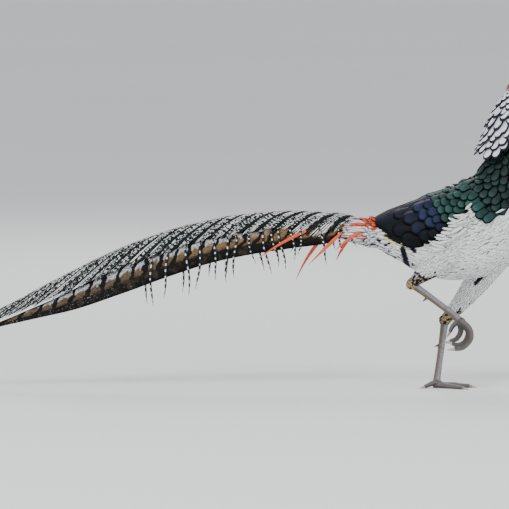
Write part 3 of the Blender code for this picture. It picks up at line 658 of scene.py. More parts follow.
class LegSettings(bpy.types.PropertyGroup):
    scale_colour: colour_setting("Scales", "Scales of the shanks and toes", (0.215, 0.215, 0.245))
    toe_colour: colour_setting("Toes", "Toes and pads", (0.118, 0.102, 0.094))
    rear_colour: colour_setting("Rear", "Back of the shanks", (0.15, 0.105, 0.062))
    scute: length_setting("Scute", "Length of one scute", 0.0032, 0.001)


class StageSettings(bpy.types.PropertyGroup):
    floor: colour_setting("Floor", "Colour of the floor", (0.80, 0.80, 0.79))
    distance: length_setting("Distance", "From the camera to the bird", 8.0, 1.0)
    elevation: bpy.props.FloatProperty(
        name="Elevation", description="Angle of the camera above the horizon", subtype="ANGLE",
        default=math.radians(4),
    )
    view_width: length_setting("View width", "Width of the view at the bird", 0.723, 0.1)


class PieceOperator(bpy.types.Operator):
    """Base of the operators that make the pieces."""

    bl_idname = "pheasant.piece"
    bl_label = "Piece"
    bl_options = {"REGISTER", "UNDO"}


def body_rings(start, end, count, inset):
    """Rings of the skin under the coat."""
    angles = np.linspace(0, 2 * np.pi, 56, endpoint=False)
    return [on_body(np.full(56, t), angles, -inset(t)) for t in np.linspace(start, end, count)]


class PHEASANT_OT_skin(PieceOperator):
    """One skin under the whole coat: trunk, neck, head and thighs"""

    bl_idname = "pheasant.skin"
    bl_label = "Skin"

    def execute(self, context):
        plumage = context.scene.pheasant_plumage
        bm = bmesh.new()
        loft_mesh(bm, body_rings(0.2, 17.0, 110, lambda t: float(coat_depth(t))))
        for rows in THIGHS.values():
            thinner = [(*row[:3], row[3] - THIGH_COAT) for row in rows]
            loft_mesh(bm, tube_rings(thinner, 24, 10))
        mesh = remeshed(bm, "skin", 0.0015)
        places = corners_of(mesh)
        pale = np.array(plumage.belly) * 0.8
        dark = np.array(plumage.mantle) * 0.5
        white = belly_share(places)[:, None]
        paint(mesh, "Tone", mix(dark, pale, white))
        made, tree, shader = principled("Skin", roughness=0.7)
        finished(tree, shader, shaded(tree, attribute(tree, "Tone")))
        solids = ("torso", "neck", "head", "rump", "thigh_left", "thigh_right")
        own(mesh, "skin", made, solids)
        return {"FINISHED"}


# Lowest edge of the dark plumage along the flank: x and z
FLANK_LINE = (
    (-0.094, 0.2390), (-0.0866, 0.2255), (-0.0696, 0.2110), (-0.050, 0.2060), (-0.008, 0.2120),
    (0.010, 0.2330), (0.034, 0.2500), (0.039, 0.2640), (0.048, 0.2470), (0.068, 0.2365), (0.085, 0.2440),
    (0.160, 0.2450),
)
# Black marks in the white plumage: the x and z of each one's two ends, and its half width
MARKS = (
    (-0.0497, 0.2012, -0.0400, 0.1650, 0.0040), (-0.0370, 0.2030, -0.0325, 0.1975, 0.0030),
    (-0.0406, 0.1704, -0.0293, 0.1661, 0.0018), (-0.0293, 0.1661, -0.0178, 0.1562, 0.0018),
    (-0.0350, 0.1775, -0.0348, 0.1770, 0.0018), (-0.1000, 0.2075, -0.0910, 0.2005, 0.0032),
    (-0.0840, 0.1950, -0.0610, 0.1850, 0.0032),
)
THIGH_MARKS = {
    "right": MARKS,
    "left": ((0.0480, 0.1560, 0.0660, 0.1680, 0.0035), (0.0560, 0.1480, 0.0640, 0.1560, 0.0030)),
}
BUFF_LEVEL = {"right": 0.1640, "left": 0.1090}  # height below which the thigh's feathers are buff
# Spacing of the rows of the mantle and of the belly, at places on the axis
MANTLE_PACE = ((1.5, 0.0070), (3, 0.0085), (5, 0.0095), (10, 0.0095), (12.5, 0.0075), (13.6, 0.0050))
BELLY_PACE = ((1.2, 0.0048), (4, 0.0052), (12, 0.0056))
NAPE_FILL = 0.0036  # how much higher the mantle stands in the hollow behind the nape
FLANK_RISE = 0.0078  # height of the white flank feathers where they lie over the wing's edge


def belly_share(points):
    """1 where the plumage is white, 0 where it is dark, for points of the body."""
    line = at(FLANK_LINE, points[..., 0])
    return smooth(0.0015, -0.0015, points[..., 2] - line)


def mark_share(points, marks=MARKS):
    """1 inside the black marks of the white plumage."""
    x, z = points[..., 0], points[..., 2]
    found = np.zeros(x.shape)
    for x0, z0, x1, z1, half in marks:
        along = ((x - x0) * (x1 - x0) + (z - z0) * (z1 - z0)) / ((x1 - x0) ** 2 + (z1 - z0) ** 2)
        along = np.clip(along, 0, 1)
        away = np.hypot(x - mix(x0, x1, along), z - mix(z0, z1, along))
        found = np.maximum(found, smooth(half + 0.0005, half - 0.0005, away))
    return found


def body_rate(t, angle):
    """Metres over the body for one step of t, at that angle."""
    return np.linalg.norm(on_body(t + 0.02, angle) - on_body(t - 0.02, angle), axis=-1) / 0.04


def packed_sites(start, end, pace, aspect, step=0.0016):
    """Sites of a coat packed like scales from the rear forwards: place, angle and spacing of each. pace gives
    the spacing along the axis at places on it, and aspect how much wider it is across."""
    angles = np.linspace(-np.pi, np.pi, 220, endpoint=False)
    sites, near = [], {}
    cell = max(gap for _, gap in pace) * max(aspect, 1.0) * 1.01
    for t in steps(BODY, start, end, lambda t: step):
        gap = float(at(pace, t))
        here = on_body(np.full(len(angles), t), angles)
        ahead = on_body(np.full(len(angles), t + 0.05), angles) - here
        ahead = ahead / np.linalg.norm(ahead, axis=1, keepdims=True)
        keys = np.floor(here / cell).astype(int).tolist()
        for angle, point, forward, (i, j, k) in zip(angles.tolist(), here.tolist(), ahead.tolist(), keys):
            if all(clear_of(point, forward, other, gap, aspect) for other in near.get((i, j, k), ())):
                sites.append((t, angle, gap))
                for a in (i - 1, i, i + 1):
                    for b in (j - 1, j, j + 1):
                        for c in (k - 1, k, k + 1):
                            near.setdefault((a, b, c), []).append(point)
    return np.array(sites).T


def clear_of(point, forward, other, gap, aspect):
    """Whether two sites stand apart by the spacing of a packing of scales."""
    x, y, z = point[0] - other[0], point[1] - other[1], point[2] - other[2]
    along = x * forward[0] + y * forward[1] + z * forward[2]
    across = max(x * x + y * y + z * z - along * along, 0.0)
    return 0.75 * (along / gap) ** 2 + across / (gap * aspect) ** 2 >= 1


def site_cells(t, angle):
    """Patches for baking in the order of the sites: along the axis, then round it."""
    count = len(t)
    columns = math.ceil(math.sqrt(count))
    rank = np.empty(count, int)
    rank[np.argsort(t, kind="stable")] = np.arange(count)
    row = rank // columns
    column = np.empty(count, int)
    for each in range(row.max() + 1):
        found = np.flatnonzero(row == each)
        column[found[np.argsort(np.asarray(angle)[found], kind="stable")]] = np.arange(len(found))
    return grid_cells(row, column, row.max() + 1, columns)


class PHEASANT_OT_coat(PieceOperator):
    """Feathers of the mantle, breast, rump, belly, flanks and vent"""

    bl_idname = "pheasant.coat"
    bl_label = "Body feathers"

    def execute(self, context):
        plumage = context.scene.pheasant_plumage
        self.mantle(plumage)
        self.belly(plumage)
        return {"FINISHED"}

    def mantle(self, plumage):
        """Rounded dark feathers with black rims, golden on the rump."""
        chance = np.random.default_rng(7)
        aspect = 1.25
        t, angle, gap = packed_sites(2.4, 13.3, MANTLE_PACE, aspect)
        end = t - gap * 1.3 / body_rate(t, angle)
        kept = belly_share(on_body(end, angle)) < 0.5
        t, angle, gap = t[kept], angle[kept], gap[kept]
        count = len(t)
        middle = on_body(t, angle)
        length = gap * OVERLAP * chance.uniform(0.96, 1.04, count)
        end = np.maximum(t - np.minimum(length / body_rate(t, angle), 1.1), 0.9)
        sway = chance.normal(0, 0.025, count)
        high = chance.uniform(-0.0002, 0.0002, count)
        hollow = smooth(6.4, 7.4, t) * smooth(9.6, 8.6, t) * np.maximum(0, np.cos(angle)) ** 2
        high = high + NAPE_FILL * hollow
        width = gap * aspect * 1.22 * chance.uniform(0.96, 1.04, count)
        template = vane_template(4, 7, 1.0)
        points = body_vanes(
            template, (t, angle), (end, angle + sway), width, -coat_depth(t) * 0.45, high, camber=0.0005
        )
        x, z = middle[:, 0:1], middle[:, 2:3]
        shade = chance.uniform(0.8, 1.2, (count, 1))
        # Painted light on top of the random tone: darker towards the front of the breast as painted shade,
        # brighter over the shoulder as a painted highlight; the neck is also darker high up
        shade = shade * mix(0.50, 1.25, smooth(0.120, 0.035, x)) * mix(0.60, 1.0, smooth(0.35, 0.30, z))
        inner = np.array(plumage.mantle) * shade
        blue = smooth(0.02, -0.03, x) * 0.8
        inner = mix(inner, np.array(plumage.wing) * shade, blue)
        gold = smooth(3.9, 3.3, t)[:, None] * smooth(1.0, 0.7, np.abs(angle))[:, None]
        inner = mix(inner, np.array(plumage.rump) * shade, gold)
        edge = mix(np.array(plumage.mantle_rim) * 0.5, np.array(plumage.rump) * 0.8, gold)
        mesh = feather_mesh("mantle_feathers", template, points, inner, edge, site_cells(t, angle))
        finish = {"roughness": 0.50, "metallic": 0.1, "specular": 0.15}
        material = feather_material(
            "Mantle feathers", 0.72, barbs=26.0, root=0.45, strength=0.5, bump=0.15, **finish
        )
        own(mesh, "mantle_feathers", material)

    def belly(self, plumage):
        """Soft white feathers, two to a site, standing over the wing's edge on the flank."""
        chance = np.random.default_rng(8)
        t, angle, gap = packed_sites(1.0, 11.6, BELLY_PACE, 0.95).repeat(2, axis=1)
        angle = angle + chance.uniform(-0.5, 0.5, len(t)) * gap / body_reach(t, angle)
        t = t + chance.uniform(-0.5, 0.5, len(t)) * gap / body_rate(t, angle)
        rear = smooth(-0.035, -0.060, on_body(t, angle)[:, 0])
        length = chance.uniform(0.015, 0.021, len(t))
        end = np.maximum(t - np.minimum(length / body_rate(t, angle), 1.5), 0.3)
        tips = on_body(end, angle)
        line = at(FLANK_LINE, tips[:, 0])
        shift = 0.0015 * np.sin(900 * tips[:, 0]) + chance.normal(0, 0.0012, len(t))
        chosen = (tips[:, 2] < line + shift) & ((np.cos(angle) < 0.6) | (t < 2.6))
        sites = (t, angle, rear, end, tips, line)
        t, angle, rear, end, tips, line = [each[chosen] for each in sites]
        count = len(t)
        x, z = tips[:, 0], tips[:, 2]
        beside = smooth(-0.020, -0.010, x) * smooth(0.048, 0.040, x)
        over = np.clip(1 - (line - z) / 0.026, 0, 1) * beside
        tip_angle = angle + chance.normal(0, 0.07, count)
        high = 0.0007 + chance.uniform(0, 0.0003, count) + rear * chance.uniform(0, 0.0022, count)
        high = high + over * FLANK_RISE
        root = on_body(t, angle)
        bare = smooth(0.003, -0.003, root[:, 2] - at(FLANK_LINE, root[:, 0]))
        low = mix(-0.0007, FLANK_RISE * 0.80, over * bare)
        template = vane_template(2, 6, 0.6)
        width = chance.uniform(0.0042, 0.0056, count) * (1 - 0.35 * smooth(0.006, 0.0, line - z))
        points = body_vanes(
            template, (t, angle), (end, tip_angle), width, low, high,
            thick=0.0003, camber=0.0001, swell=0.4, base=0.6,
        )
        grey = np.clip(chance.normal(1.0, 0.015, (count, 1, 1)), 0.94, 1.04)
        inner = np.array(plumage.belly) * np.broadcast_to(grey, (*points.shape[:2], 1))
        level = at(FLANK_LINE, points[..., 0]) - points[..., 2]
        under = smooth(0.0032, 0.0018, level) * smooth(-0.010, -0.018, points[..., 0]) * (
            points[..., 0] > -0.078
        )
        inner = mix(inner, np.array(plumage.under_wing), under[..., None])
        streaked = 0.22 * smooth(-0.050, -0.062, x) * smooth(0.214, 0.206, z) + 0.20 * smooth(
            -0.080, -0.088, x
        )
        dash = (chance.random(count) < streaked)[:, None]
        black = np.maximum(mark_share(points), dash * smooth(0.45, 0.6, template[1]))
        inner = mix(inner, np.array(plumage.cape_rim), black[..., None])
        mesh = feather_mesh("belly_feathers", template, points, inner, inner, site_cells(t, angle), swell=0.4)
        finish = {"roughness": 0.9, "specular": 0.15}
        material = feather_material(
            "Belly feathers", 0.7, 0.3, barbs=9.0, root=1.0, strength=0.08, bump=0.04, **finish
        )
        own(mesh, "belly_feathers", material)


def ring_sites(levels, radii, gap, least):
    """Sites in rings round a limb, every other ring turned by half a gap: level and angle of each."""
    sites = []
    for row, (level, radius) in enumerate(zip(levels, radii)):
        columns = max(least, round(2 * np.pi * radius / gap))
        for column in range(columns):
            sites.append((level, (column + 0.5 * (row % 2)) * 2 * np.pi / columns))
    return np.array(sites).T


class PHEASANT_OT_thighs(PieceOperator):
    """White feathers down both thighs, buff with dark spots over the hocks"""

    bl_idname = "pheasant.thighs"
    bl_label = "Thigh feathers"

    def execute(self, context):
        plumage = context.scene.pheasant_plumage
        finish = {"roughness": 0.9, "specular": 0.15}
        material = feather_material(
            "Thigh feathers", 0.7, 0.3, barbs=9.0, root=0.95, strength=0.10, bump=0.05, **finish
        )
        template = vane_template(2, 5, 0.6)
        for word, rows in THIGHS.items():
            chance = np.random.default_rng(9)
            made = self.limb(word, np.array(rows), template, chance), self.ball(word, template, chance)
            points, place, round_it = [np.concatenate(each) for each in zip(*made)]
            count = len(points)
            level, height = BUFF_LEVEL[word], points[..., 2].mean(axis=1)[:, None]
            buff = smooth(level + 0.003, level - 0.003, height)
            inner = mix(np.array(plumage.belly), np.array(plumage.hock), buff)
            inner = inner * chance.uniform(0.90, 1.06, (count, 1))
            low = smooth(level + 0.030, level, height)
            spot = (chance.random((count, 1)) < 0.42 * buff + 0.05 * low) * smooth(0.58, 0.70, template[1])
            mark = mark_share(points, THIGH_MARKS[word])
            inner = np.broadcast_to(inner[:, None], points.shape)
            inner = mix(inner, np.array(plumage.cape_rim), np.maximum(mark, spot)[..., None])
            name = f"thigh_{word}_feathers"
            mesh = feather_mesh(
                name, template, points, inner, inner * 0.95, site_cells(place, round_it), swell=0.4
            )
            own(mesh, name, material)
        return {"FINISHED"}

    def limb(self, word, rows, template, chance):
        """Rows of feathers down a thigh, from inside the body to the hock."""
        u, v, w, _ = template
        first = rows[0] + (rows[0] - rows[1]) * 0.6
        first[3] = rows[0][3] - 0.007
        rows = np.array([first, *rows, (*SHANKS[word][0][:3], HOCK_RADIUS + 0.0005)])
        places = np.linspace(0, len(rows) - 1, 300)
        run = limb_run(rows, places)
        levels = np.arange(0.003, run[-1] - 0.003, 0.0034)
        radii = between(rows, np.interp(levels, run, places))[:, 3]
        metres, angle = ring_sites(levels, radii, 0.0028, 8)
        count = len(metres)
        reach = np.minimum(metres + chance.uniform(0.011, 0.016, count), run[-1])
        along = np.interp(mix(metres[:, None], reach[:, None], v), run, places)
        rise = mix(-0.0014, chance.uniform(0.0002, 0.0008, (count, 1)), v) + w * 0.0002
        width = chance.uniform(0.0036, 0.0048, (count, 1)) * taper(v, 0.6, swell=0.4)
        turn = mix(angle[:, None], angle[:, None] + chance.normal(0, 0.08, (count, 1)), v)
        turn = turn + u * 0.5 * width / np.maximum(between(rows, along)[..., 3], 0.004)
        return on_limb(rows, along, turn, rise), metres, angle

    def ball(self, word, template, chance):
        """Feathers round the hock, their tips towards the shank."""
        u, v, w, _ = template
        hock, below = [np.array(row[:3]) for row in SHANKS[word][:2]]
        down = (below - hock) / np.linalg.norm(below - hock)
        side = np.cross(down, (0, 1, 0)) / np.linalg.norm(np.cross(down, (0, 1, 0)))
        other = np.cross(down, side)
        falls = np.arange(0.5, 2.6, 0.30)
        fall, turn = ring_sites(falls, HOCK_RADIUS * np.sin(falls), 0.0027, 6)
        fall = math.pi - fall
        reach = np.maximum(fall - chance.uniform(0.75, 1.0, len(fall)), 0.42)
        bend = mix(fall[:, None], reach[:, None], v)
        width = 0.0040 * taper(v, 0.6, swell=0.4)
        swing = turn[:, None] + u * 0.5 * width / (HOCK_RADIUS * np.maximum(np.sin(bend), 0.25))
        rise = HOCK_RADIUS + mix(-0.0006, 0.0012, v) + chance.uniform(0, 0.0004, (len(fall), 1)) + w * 0.0002
        away = np.cos(swing)[..., None] * side + np.sin(swing)[..., None] * other
        out = np.sin(bend)[..., None] * away + np.cos(bend)[..., None] * down
        return hock + out * rise[..., None], 1 + math.pi - fall, turn


class PHEASANT_OT_head(PieceOperator):
    """Small feathers of the crown, face and throat, leaving the skin round the eyes bare"""

    bl_idname = "pheasant.head"
    bl_label = "Head feathers"

    def execute(self, context):
        plumage = context.scene.pheasant_plumage
        chance = np.random.default_rng(13)
        t, angle, gap = packed_sites(13.1, 17.0, HEAD_PACE, 1.15, 0.0007)
        kept = bare_share(on_body(t - 1.0 * gap / body_rate(t, angle), angle)) < 0.5
        t, angle, gap = t[kept], angle[kept], gap[kept]
        count = len(t)
        length = gap * OVERLAP * chance.uniform(0.9, 1.1, count)
        end = np.maximum(t - length / body_rate(t, angle), 12.4)
        template = vane_template(2, 5, 1.0)
        width = gap * 1.40 * chance.uniform(0.95, 1.1, count)
        high = chance.uniform(0, 0.0003, count)
        sway = chance.normal(0, 0.05, count)
        points = body_vanes(
            template, (t, angle), (end, angle + sway), width, -coat_depth(t) * 0.6, high,
            thick=0.0003, camber=0.0003,
        )
        crown = smooth(0.55, 0.85, np.cos(angle))[:, None]
        spot = (chance.random((count, 1)) < 0.22) * (1 - crown)
        inner = mix(np.array(plumage.face), np.array(plumage.crown), np.maximum(crown, spot * 0.8))
        inner = inner * chance.uniform(0.75, 1.25, (count, 1))
        mesh = feather_mesh("head_feathers", template, points, inner, inner * 0.3, site_cells(t, angle))
        finish = {"roughness": 0.40, "metallic": 0.3, "specular": 0.3}
        material = feather_material(
            "Head feathers", 0.8, 0.15, barbs=12.0, root=0.5, strength=0.4, bump=0.15, **finish
        )
        own(mesh, "head_feathers", material)
        return {"FINISHED"}


# Bare skin beside the eye and the lappet under it: middle of each from the eye, and its radii
FACE_PATCHES = (
    ((0.0010, -0.0015, -0.0010), (0.0105, 0.0045, 0.0085)),
    ((0.0010, -0.0015, -0.0100), (0.0045, 0.0030, 0.0050)),
)
PATCH_SPARE = 0.0003  # how far round a patch the feathers stay away
CHEEK_OUT = 0.0095  # how far from the middle of the head the patches start
LID_RADIUS = 0.0009
HEAD_PACE = ((13, 0.0044), (14.5, 0.0034), (16, 0.0027), (17, 0.0022))


def bare_share(points):
    """1 over the bare skin of the face."""
    found = np.zeros(points.shape[:-1])
    for (x, _, z), (long, _, high) in FACE_PATCHES:
        ahead, above = points[..., 0] - EYE_SPOT[0] - x, points[..., 2] - EYE_SPOT[2] - z
        away = np.hypot(ahead / (long + PATCH_SPARE), above / (high + PATCH_SPARE))
        found = np.maximum(found, smooth(1.0, 0.9, away) * (np.abs(points[..., 1]) > CHEEK_OUT))
    return found


# Height of the cape's surface over the neck: place on the axis, height at the back, height at the sides
CAPE_LIFT = (
    (9.8, 0.0155, 0.0050), (10.8, 0.0205, 0.0055), (11.8, 0.0205, 0.0055), (12.8, 0.0155, 0.0048),
    (13.8, 0.0085, 0.0040), (14.8, 0.0050, 0.0030),
)
# How far round from the back the cape reaches, in degrees, at places on the axis
CAPE_SPREAD = ((10.5, 58), (11.4, 62), (12.5, 64), (13.5, 60), (14.6, 50))
CAPE_PACE = ((10.8, 0.0080), (13, 0.0074), (14.3, 0.0044))


def cape_lift(t, angle):
    places, back, side = zip(*CAPE_LIFT)
    turn = np.maximum(0, np.cos(angle)) ** 1.3
    return mix(np.interp(t, places, side), np.interp(t, places, back), turn)


class PHEASANT_OT_cape(PieceOperator):
    """Pale hackles with dark rims, in rows down the nape"""

    bl_idname = "pheasant.cape"
    bl_label = "Cape"

    def execute(self, context):
        plumage = context.scene.pheasant_plumage
        chance = np.random.default_rng(11)
        rows = []
        for index, t in enumerate(steps(BODY, 10.75, 14.25, lambda t: float(at(CAPE_PACE, t)))):
            spread = math.radians(at(CAPE_SPREAD, t))
            size = np.interp(t, (10.8, 12.5, 14.3), (0.0128, 0.0122, 0.0076))
            radius = float(body_reach(t, 0.8)) + float(cape_lift(t, 0.6)) * 0.8
            columns = max(5, round(2 * spread * radius / (size * 0.98)))
            for column in range(columns + index % 2):
                angle = (column - (columns - 1 + index % 2) / 2) * 2 * spread / columns
                rows.append((index, column, t, angle, size))
        index, column, tip, angle, size = np.array(rows).T
        count = len(tip)
        size = size * chance.uniform(0.94, 1.08, count)
        hem = smooth(1.5, 0.5, index)
        tip = tip + chance.normal(0, 0.05, count) - hem * chance.uniform(-0.05, 0.24, count)
        angle = angle + chance.normal(0, 0.03, count)
        length = size * OVERLAP
        root = np.minimum(tip + length / axis_frame(BODY, tip)[2], 14.75)
        high = cape_lift(tip, angle) + chance.normal(0, 0.0004, count)
        low = mix(0.55 * cape_lift(root, angle * 0.88) - 0.001, -0.0016, smooth(14.0, 14.6, root))
        scale = body_reach(tip, angle) / (body_reach(tip, angle) + high)
        template = vane_template(4, 8, 1.0)
        wide = size * 1.34 * scale
        points = body_vanes(
            template, (root, angle * 0.9), (tip, angle), wide, low, high,
            thick=0.0006, camber=0.0014, base=0.55,
        )
        inner = np.array(plumage.cape) * chance.uniform(0.9, 1.05, (count, 1))
        cells = grid_cells(index, column, index.max() + 1, column.max() + 1)
        mesh = feather_mesh("cape_feathers", template, points, inner, np.array(plumage.cape_rim), cells)
        finish = {"roughness": 0.6, "specular": 0.3}
        material = feather_material(
            "Cape feathers", 0.68, 0.06, barbs=18.0, root=0.75, strength=0.12, bump=0.2, **finish
        )
        own(mesh, "cape_feathers", material, ("cape",))
        return {"FINISHED"}


CREST_PATH = (
    (0.1640, 0.4440), (0.1500, 0.4500), (0.1330, 0.4485), (0.1160, 0.4400), (0.1040, 0.4300),
    (0.0960, 0.4200),
)


class PHEASANT_OT_crest(PieceOperator):
    """Narrow silky plumes from the hind crown, lying back over the cape"""

    bl_idname = "pheasant.crest"
    bl_label = "Crest"

    def execute(self, context):
        plumage = context.scene.pheasant_plumage
        chance = np.random.default_rng(5)
        count = 110
        template = vane_template(2, 12)
        u, v, w, _ = template
        side = chance.uniform(-1, 1, (count, 1))
        layer = chance.uniform(0, 1, (count, 1))
        start = chance.uniform(0.5, 1.6, (count, 1))
        reach = chance.uniform(0.72, 1.0, (count, 1)) * (1 - 0.12 * np.abs(side))
        s = start + v[None] * (reach * (len(CREST_PATH) - 1) - start)
        centre, along, _, _ = axis_frame(CREST_PATH, s)
        rise = mix(0.0002, 0.0030 * layer, np.clip(3 * v, 0, 1)) - np.abs(side) * 0.0022
        rise = rise + 0.0006 * np.sin(9 * v + 7 * layer) * v + w * 0.0002
        half = 0.0011 * taper(v, root=0.6, point=0.05, swell=0.4)
        out = side * mix(0.0060, 0.0085, v) + u * half
        points = off_axis(centre, along, -rise, out)
        inner = np.array(plumage.crest) * chance.uniform(0.7, 1.2, (count, 1))
        cells = grid_cells(np.arange(count) // 11, np.arange(count) % 11, 10, 11)
        mesh = feather_mesh("crest_plumes", template, points, inner, inner * 0.6, cells)
        material = feather_material(
            "Crest plumes", 0.7, 0.95, barbs=60.0, root=0.3, roughness=0.45, specular=0.6
        )
        own(mesh, "crest_plumes", material, ("crest",))
        return {"FINISHED"}


# Flight feathers of the folded wing, from the topmost to the lowest: place and angle of the root and of the
# tip, and the height over the skin at the tip
FLIGHT = ((5.7, 24, 1.85, 13, 0.0036), (5.2, 92, 1.95, 97, 0.0028))
FLIGHT_COUNT = 13
FLIGHT_SLOPE = 1.15  # how much further forward the lowest tip stands, in places of the axis
# Coverts: their spacing along the axis, how much wider it is across, and the height of their tips
WING_PACE = ((3.1, 0.0165), (4.6, 0.0135), (5.3, 0.0098), (7.6, 0.0092))
WING_ASPECT = 1.22
WING_HEIGHT = ((3.3, 0.0044), (4.4, 0.0056), (5.8, 0.0066), (6.8, 0.0064), (7.4, 0.0052), (7.8, 0.0036))
WING_REAR, WING_FRONT = 3.2, 7.55  # places on the axis of the first and the last tips
WING_TOP, WING_BOTTOM = 14.0, 95.0  # angles between which the coverts lie, in degrees
WING_EDGE_START = -0.014  # x ahead of which white feathers close over the wing's lower edge
# Where the coverts turn from blue to green, as the x and z of two points
GREEN_LINE = (-0.0227, 0.2684, 0.0100, 0.2286)
BLACK_LEVEL = 0.2320  # below this height the rear of the wing is black


class PHEASANT_OT_wings(PieceOperator):
    """Folded wings: long flight feathers under rounded coverts laid like scales"""

    bl_idname = "pheasant.wings"
    bl_label = "Wings"

    def execute(self, context):
        plumage = context.scene.pheasant_plumage
        finish = {"roughness": 0.55, "metallic": 0.1, "specular": 0.12}
        material = feather_material("Wing feathers", 0.72, strength=0.4, bump=0.12, **finish)
        sites = packed_sites(WING_REAR, WING_FRONT, WING_PACE, WING_ASPECT)
        turned = np.degrees(sites[1])
        sites = sites[:, (turned > WING_TOP) & (turned < WING_BOTTOM)]
        template = vane_template(4, 8, 1.0)
        for side, word in SIDES:
            chance = np.random.default_rng(21)
            flight = self.flight(plumage, side, template, chance)
            coverts = self.coverts(plumage, side, template, chance, sites)
            points, inner, edge, place, round_it = [np.concatenate(each) for each in zip(flight, coverts)]
            name = f"wing_{word}_feathers"
            mesh = feather_mesh(name, template, points, inner, edge, site_cells(place, round_it))
            own(mesh, name, material, (f"wing_{word}",))
        return {"FINISHED"}

    def flight(self, plumage, side, template, chance):
        share = np.linspace(0, 1, FLIGHT_COUNT)[:, None]
        t0, a0, t1, a1, high = mix(*np.array(FLIGHT)[:, None], share).T
        t1 = t1 + FLIGHT_SLOPE * share[:, 0] ** 2 + chance.normal(0, 0.03, FLIGHT_COUNT)
        pitch = np.radians(FLIGHT[1][3] - FLIGHT[0][3]) / (FLIGHT_COUNT - 1)
        width = pitch * body_reach(t1 + 1.0, np.radians(a1)) * 2.0
        roots, tips = (t0, np.radians(a0) * side), (t1, np.radians(a1) * side)
        points = body_vanes(template, roots, tips, width, 0.0006, high, thick=0.0006, camber=0.0010, base=0.7)
        # Painted highlight: the topmost flight feathers take the lighter purple, and the lower ones fade to
        # near-black
        inner = mix(np.array(plumage.flight), np.array(plumage.mantle_rim), smooth(0.30, 0.60, share))
        return points, inner, inner * 0.5, t1, a1

    def coverts(self, plumage, side, template, chance, sites):
        tip, angle, gap = sites
        number = len(tip)
        length = gap * 2.3 * chance.uniform(0.96, 1.04, number)
        root = tip + length / body_rate(tip, angle)
        width = gap * WING_ASPECT * 1.20 * chance.uniform(0.97, 1.04, number)
        high = at(WING_HEIGHT, tip) * mix(0.40, 1, smooth(WING_TOP, 42, np.degrees(angle)))
        high = high + chance.normal(0, 0.00012, number)
        sway = chance.normal(0, 0.02, number)
        ends = (root, angle * side), (tip, (angle + sway) * side)
        points = body_vanes(
            template, *ends, width, 0.0010, high, thick=0.0006, camber=0.0004, swell=0.55, base=0.55
        )
        place = on_body(tip, angle * side, 0.005)
        x, z = place[:, 0], place[:, 2]
        x0, z0, x1, z1 = GREEN_LINE
        ahead = x - (x0 + (z0 - z) * (x1 - x0) / (z0 - z1))
        green = smooth(-0.003, 0.004, ahead)[:, None]
        shade = chance.uniform(0.75, 1.3, (number, 1))
        inner = mix(np.array(plumage.wing), np.array(plumage.mantle) * 1.35, green) * shade
        rear = smooth(-0.038, -0.055, x)[:, None]
        inner = mix(inner, np.array(plumage.flight), rear)
        black = (smooth(BLACK_LEVEL + 0.004, BLACK_LEVEL - 0.004, z) * smooth(0.010, -0.002, x))[:, None]
        inner = mix(inner, np.array(plumage.mantle_rim), black)
        edge = mix(inner * 0.2, np.array(plumage.mantle_rim) * 0.5, green)
        middle = on_body(mix(tip, root, 0.35), angle * side, 0.005)
        keep = np.ones(number, bool)
        for spot, spare in ((place, 0.001), (middle, 0.002)):
            line = at(FLANK_LINE, spot[:, 0])
            keep &= ~((spot[:, 0] > WING_EDGE_START) & (spot[:, 2] < line - spare))
        return [each[keep] for each in (points, inner, edge, tip, np.degrees(angle))]


SIDE_FEATHERS = ((0.0030, 0.86, 0.36), (0.0050, 0.70, 0.42), (0.0068, 0.54, 0.48), (0.0086, 0.40, 0.54))
TAIL_LAST = len(TAIL) - 1
# How much higher the centre pair stands, by the run along its ridge
ROOT_LIFT = ((0, 0.0100), (0.012, 0.0085), (0.045, 0.0020), (0.090, 0))
BARB_SWEEP = (1.40, 2.40)  # metres back along the tail for one across a web, near the root and further back
BAR_SPREAD = 14.0  # how fast the bars move apart behind BAR_EVEN metres, in bars for one square metre
BAR_EVEN = 0.25
BAR_WANDER = 0.003  # metres that the bars are shifted by, on average
SLIT = (0.00, 0.30)  # part of each bar's pitch where the barbs stay short and the web is open


def tail_run(t):
    """Metres along the ridge up to place t."""
    places = np.linspace(0, TAIL_LAST, 400)
    ridge = between(TAIL, places)[:, :2]
    runs = np.concatenate([[0], np.cumsum(np.linalg.norm(np.diff(ridge, axis=0), axis=1))])
    return np.interp(t, places, runs)


def tail_place(run):
    places = np.linspace(0, TAIL_LAST, 400)
    return np.interp(run, tail_run(places), places)


def bar_phase(start, pitch):
    """Bars of the web counted from the root, by where on the ridge their barbs leave it."""
    return (start + BAR_WANDER) / pitch - BAR_SPREAD * np.maximum(0, start - BAR_EVEN) ** 2


def barb_sweep(start):
    return mix(*BARB_SWEEP, smooth(0.12, 0.42, start))


def tail_cross(t, share):
    """Metres across the roof from the ridge, about."""
    size = axis_frame(TAIL, t)[3]
    return np.abs(share) * (0.62 * size[..., 0] + 0.75 * size[..., 1]) * 1.1


# Strands that hang from the right web: x where each leaves it, and the x and z of its end
STRANDS = (
    (-0.115, -0.114, 0.2020), (-0.131, -0.133, 0.1960), (-0.159, -0.155, 0.1775), (-0.185, -0.196, 0.1917),
    (-0.200, -0.202, 0.1840), (-0.218, -0.216, 0.1704), (-0.229, -0.226, 0.1789), (-0.243, -0.237, 0.1647),
    (-0.266, -0.258, 0.1789), (-0.283, -0.288, 0.1590), (-0.297, -0.298, 0.1519), (-0.318, -0.312, 0.1560),
    (-0.336, -0.341, 0.1430), (-0.358, -0.352, 0.1340), (-0.384, -0.389, 0.1300), (-0.412, -0.404, 0.1180),
)
STRAND_SHARE = 0.60  # where on the roof they leave it
STRAND_LEAVE = -0.100  # x of the ridge where its run is 0, about
STRAND_PITCH = 0.0054  # from one pale tick to the next


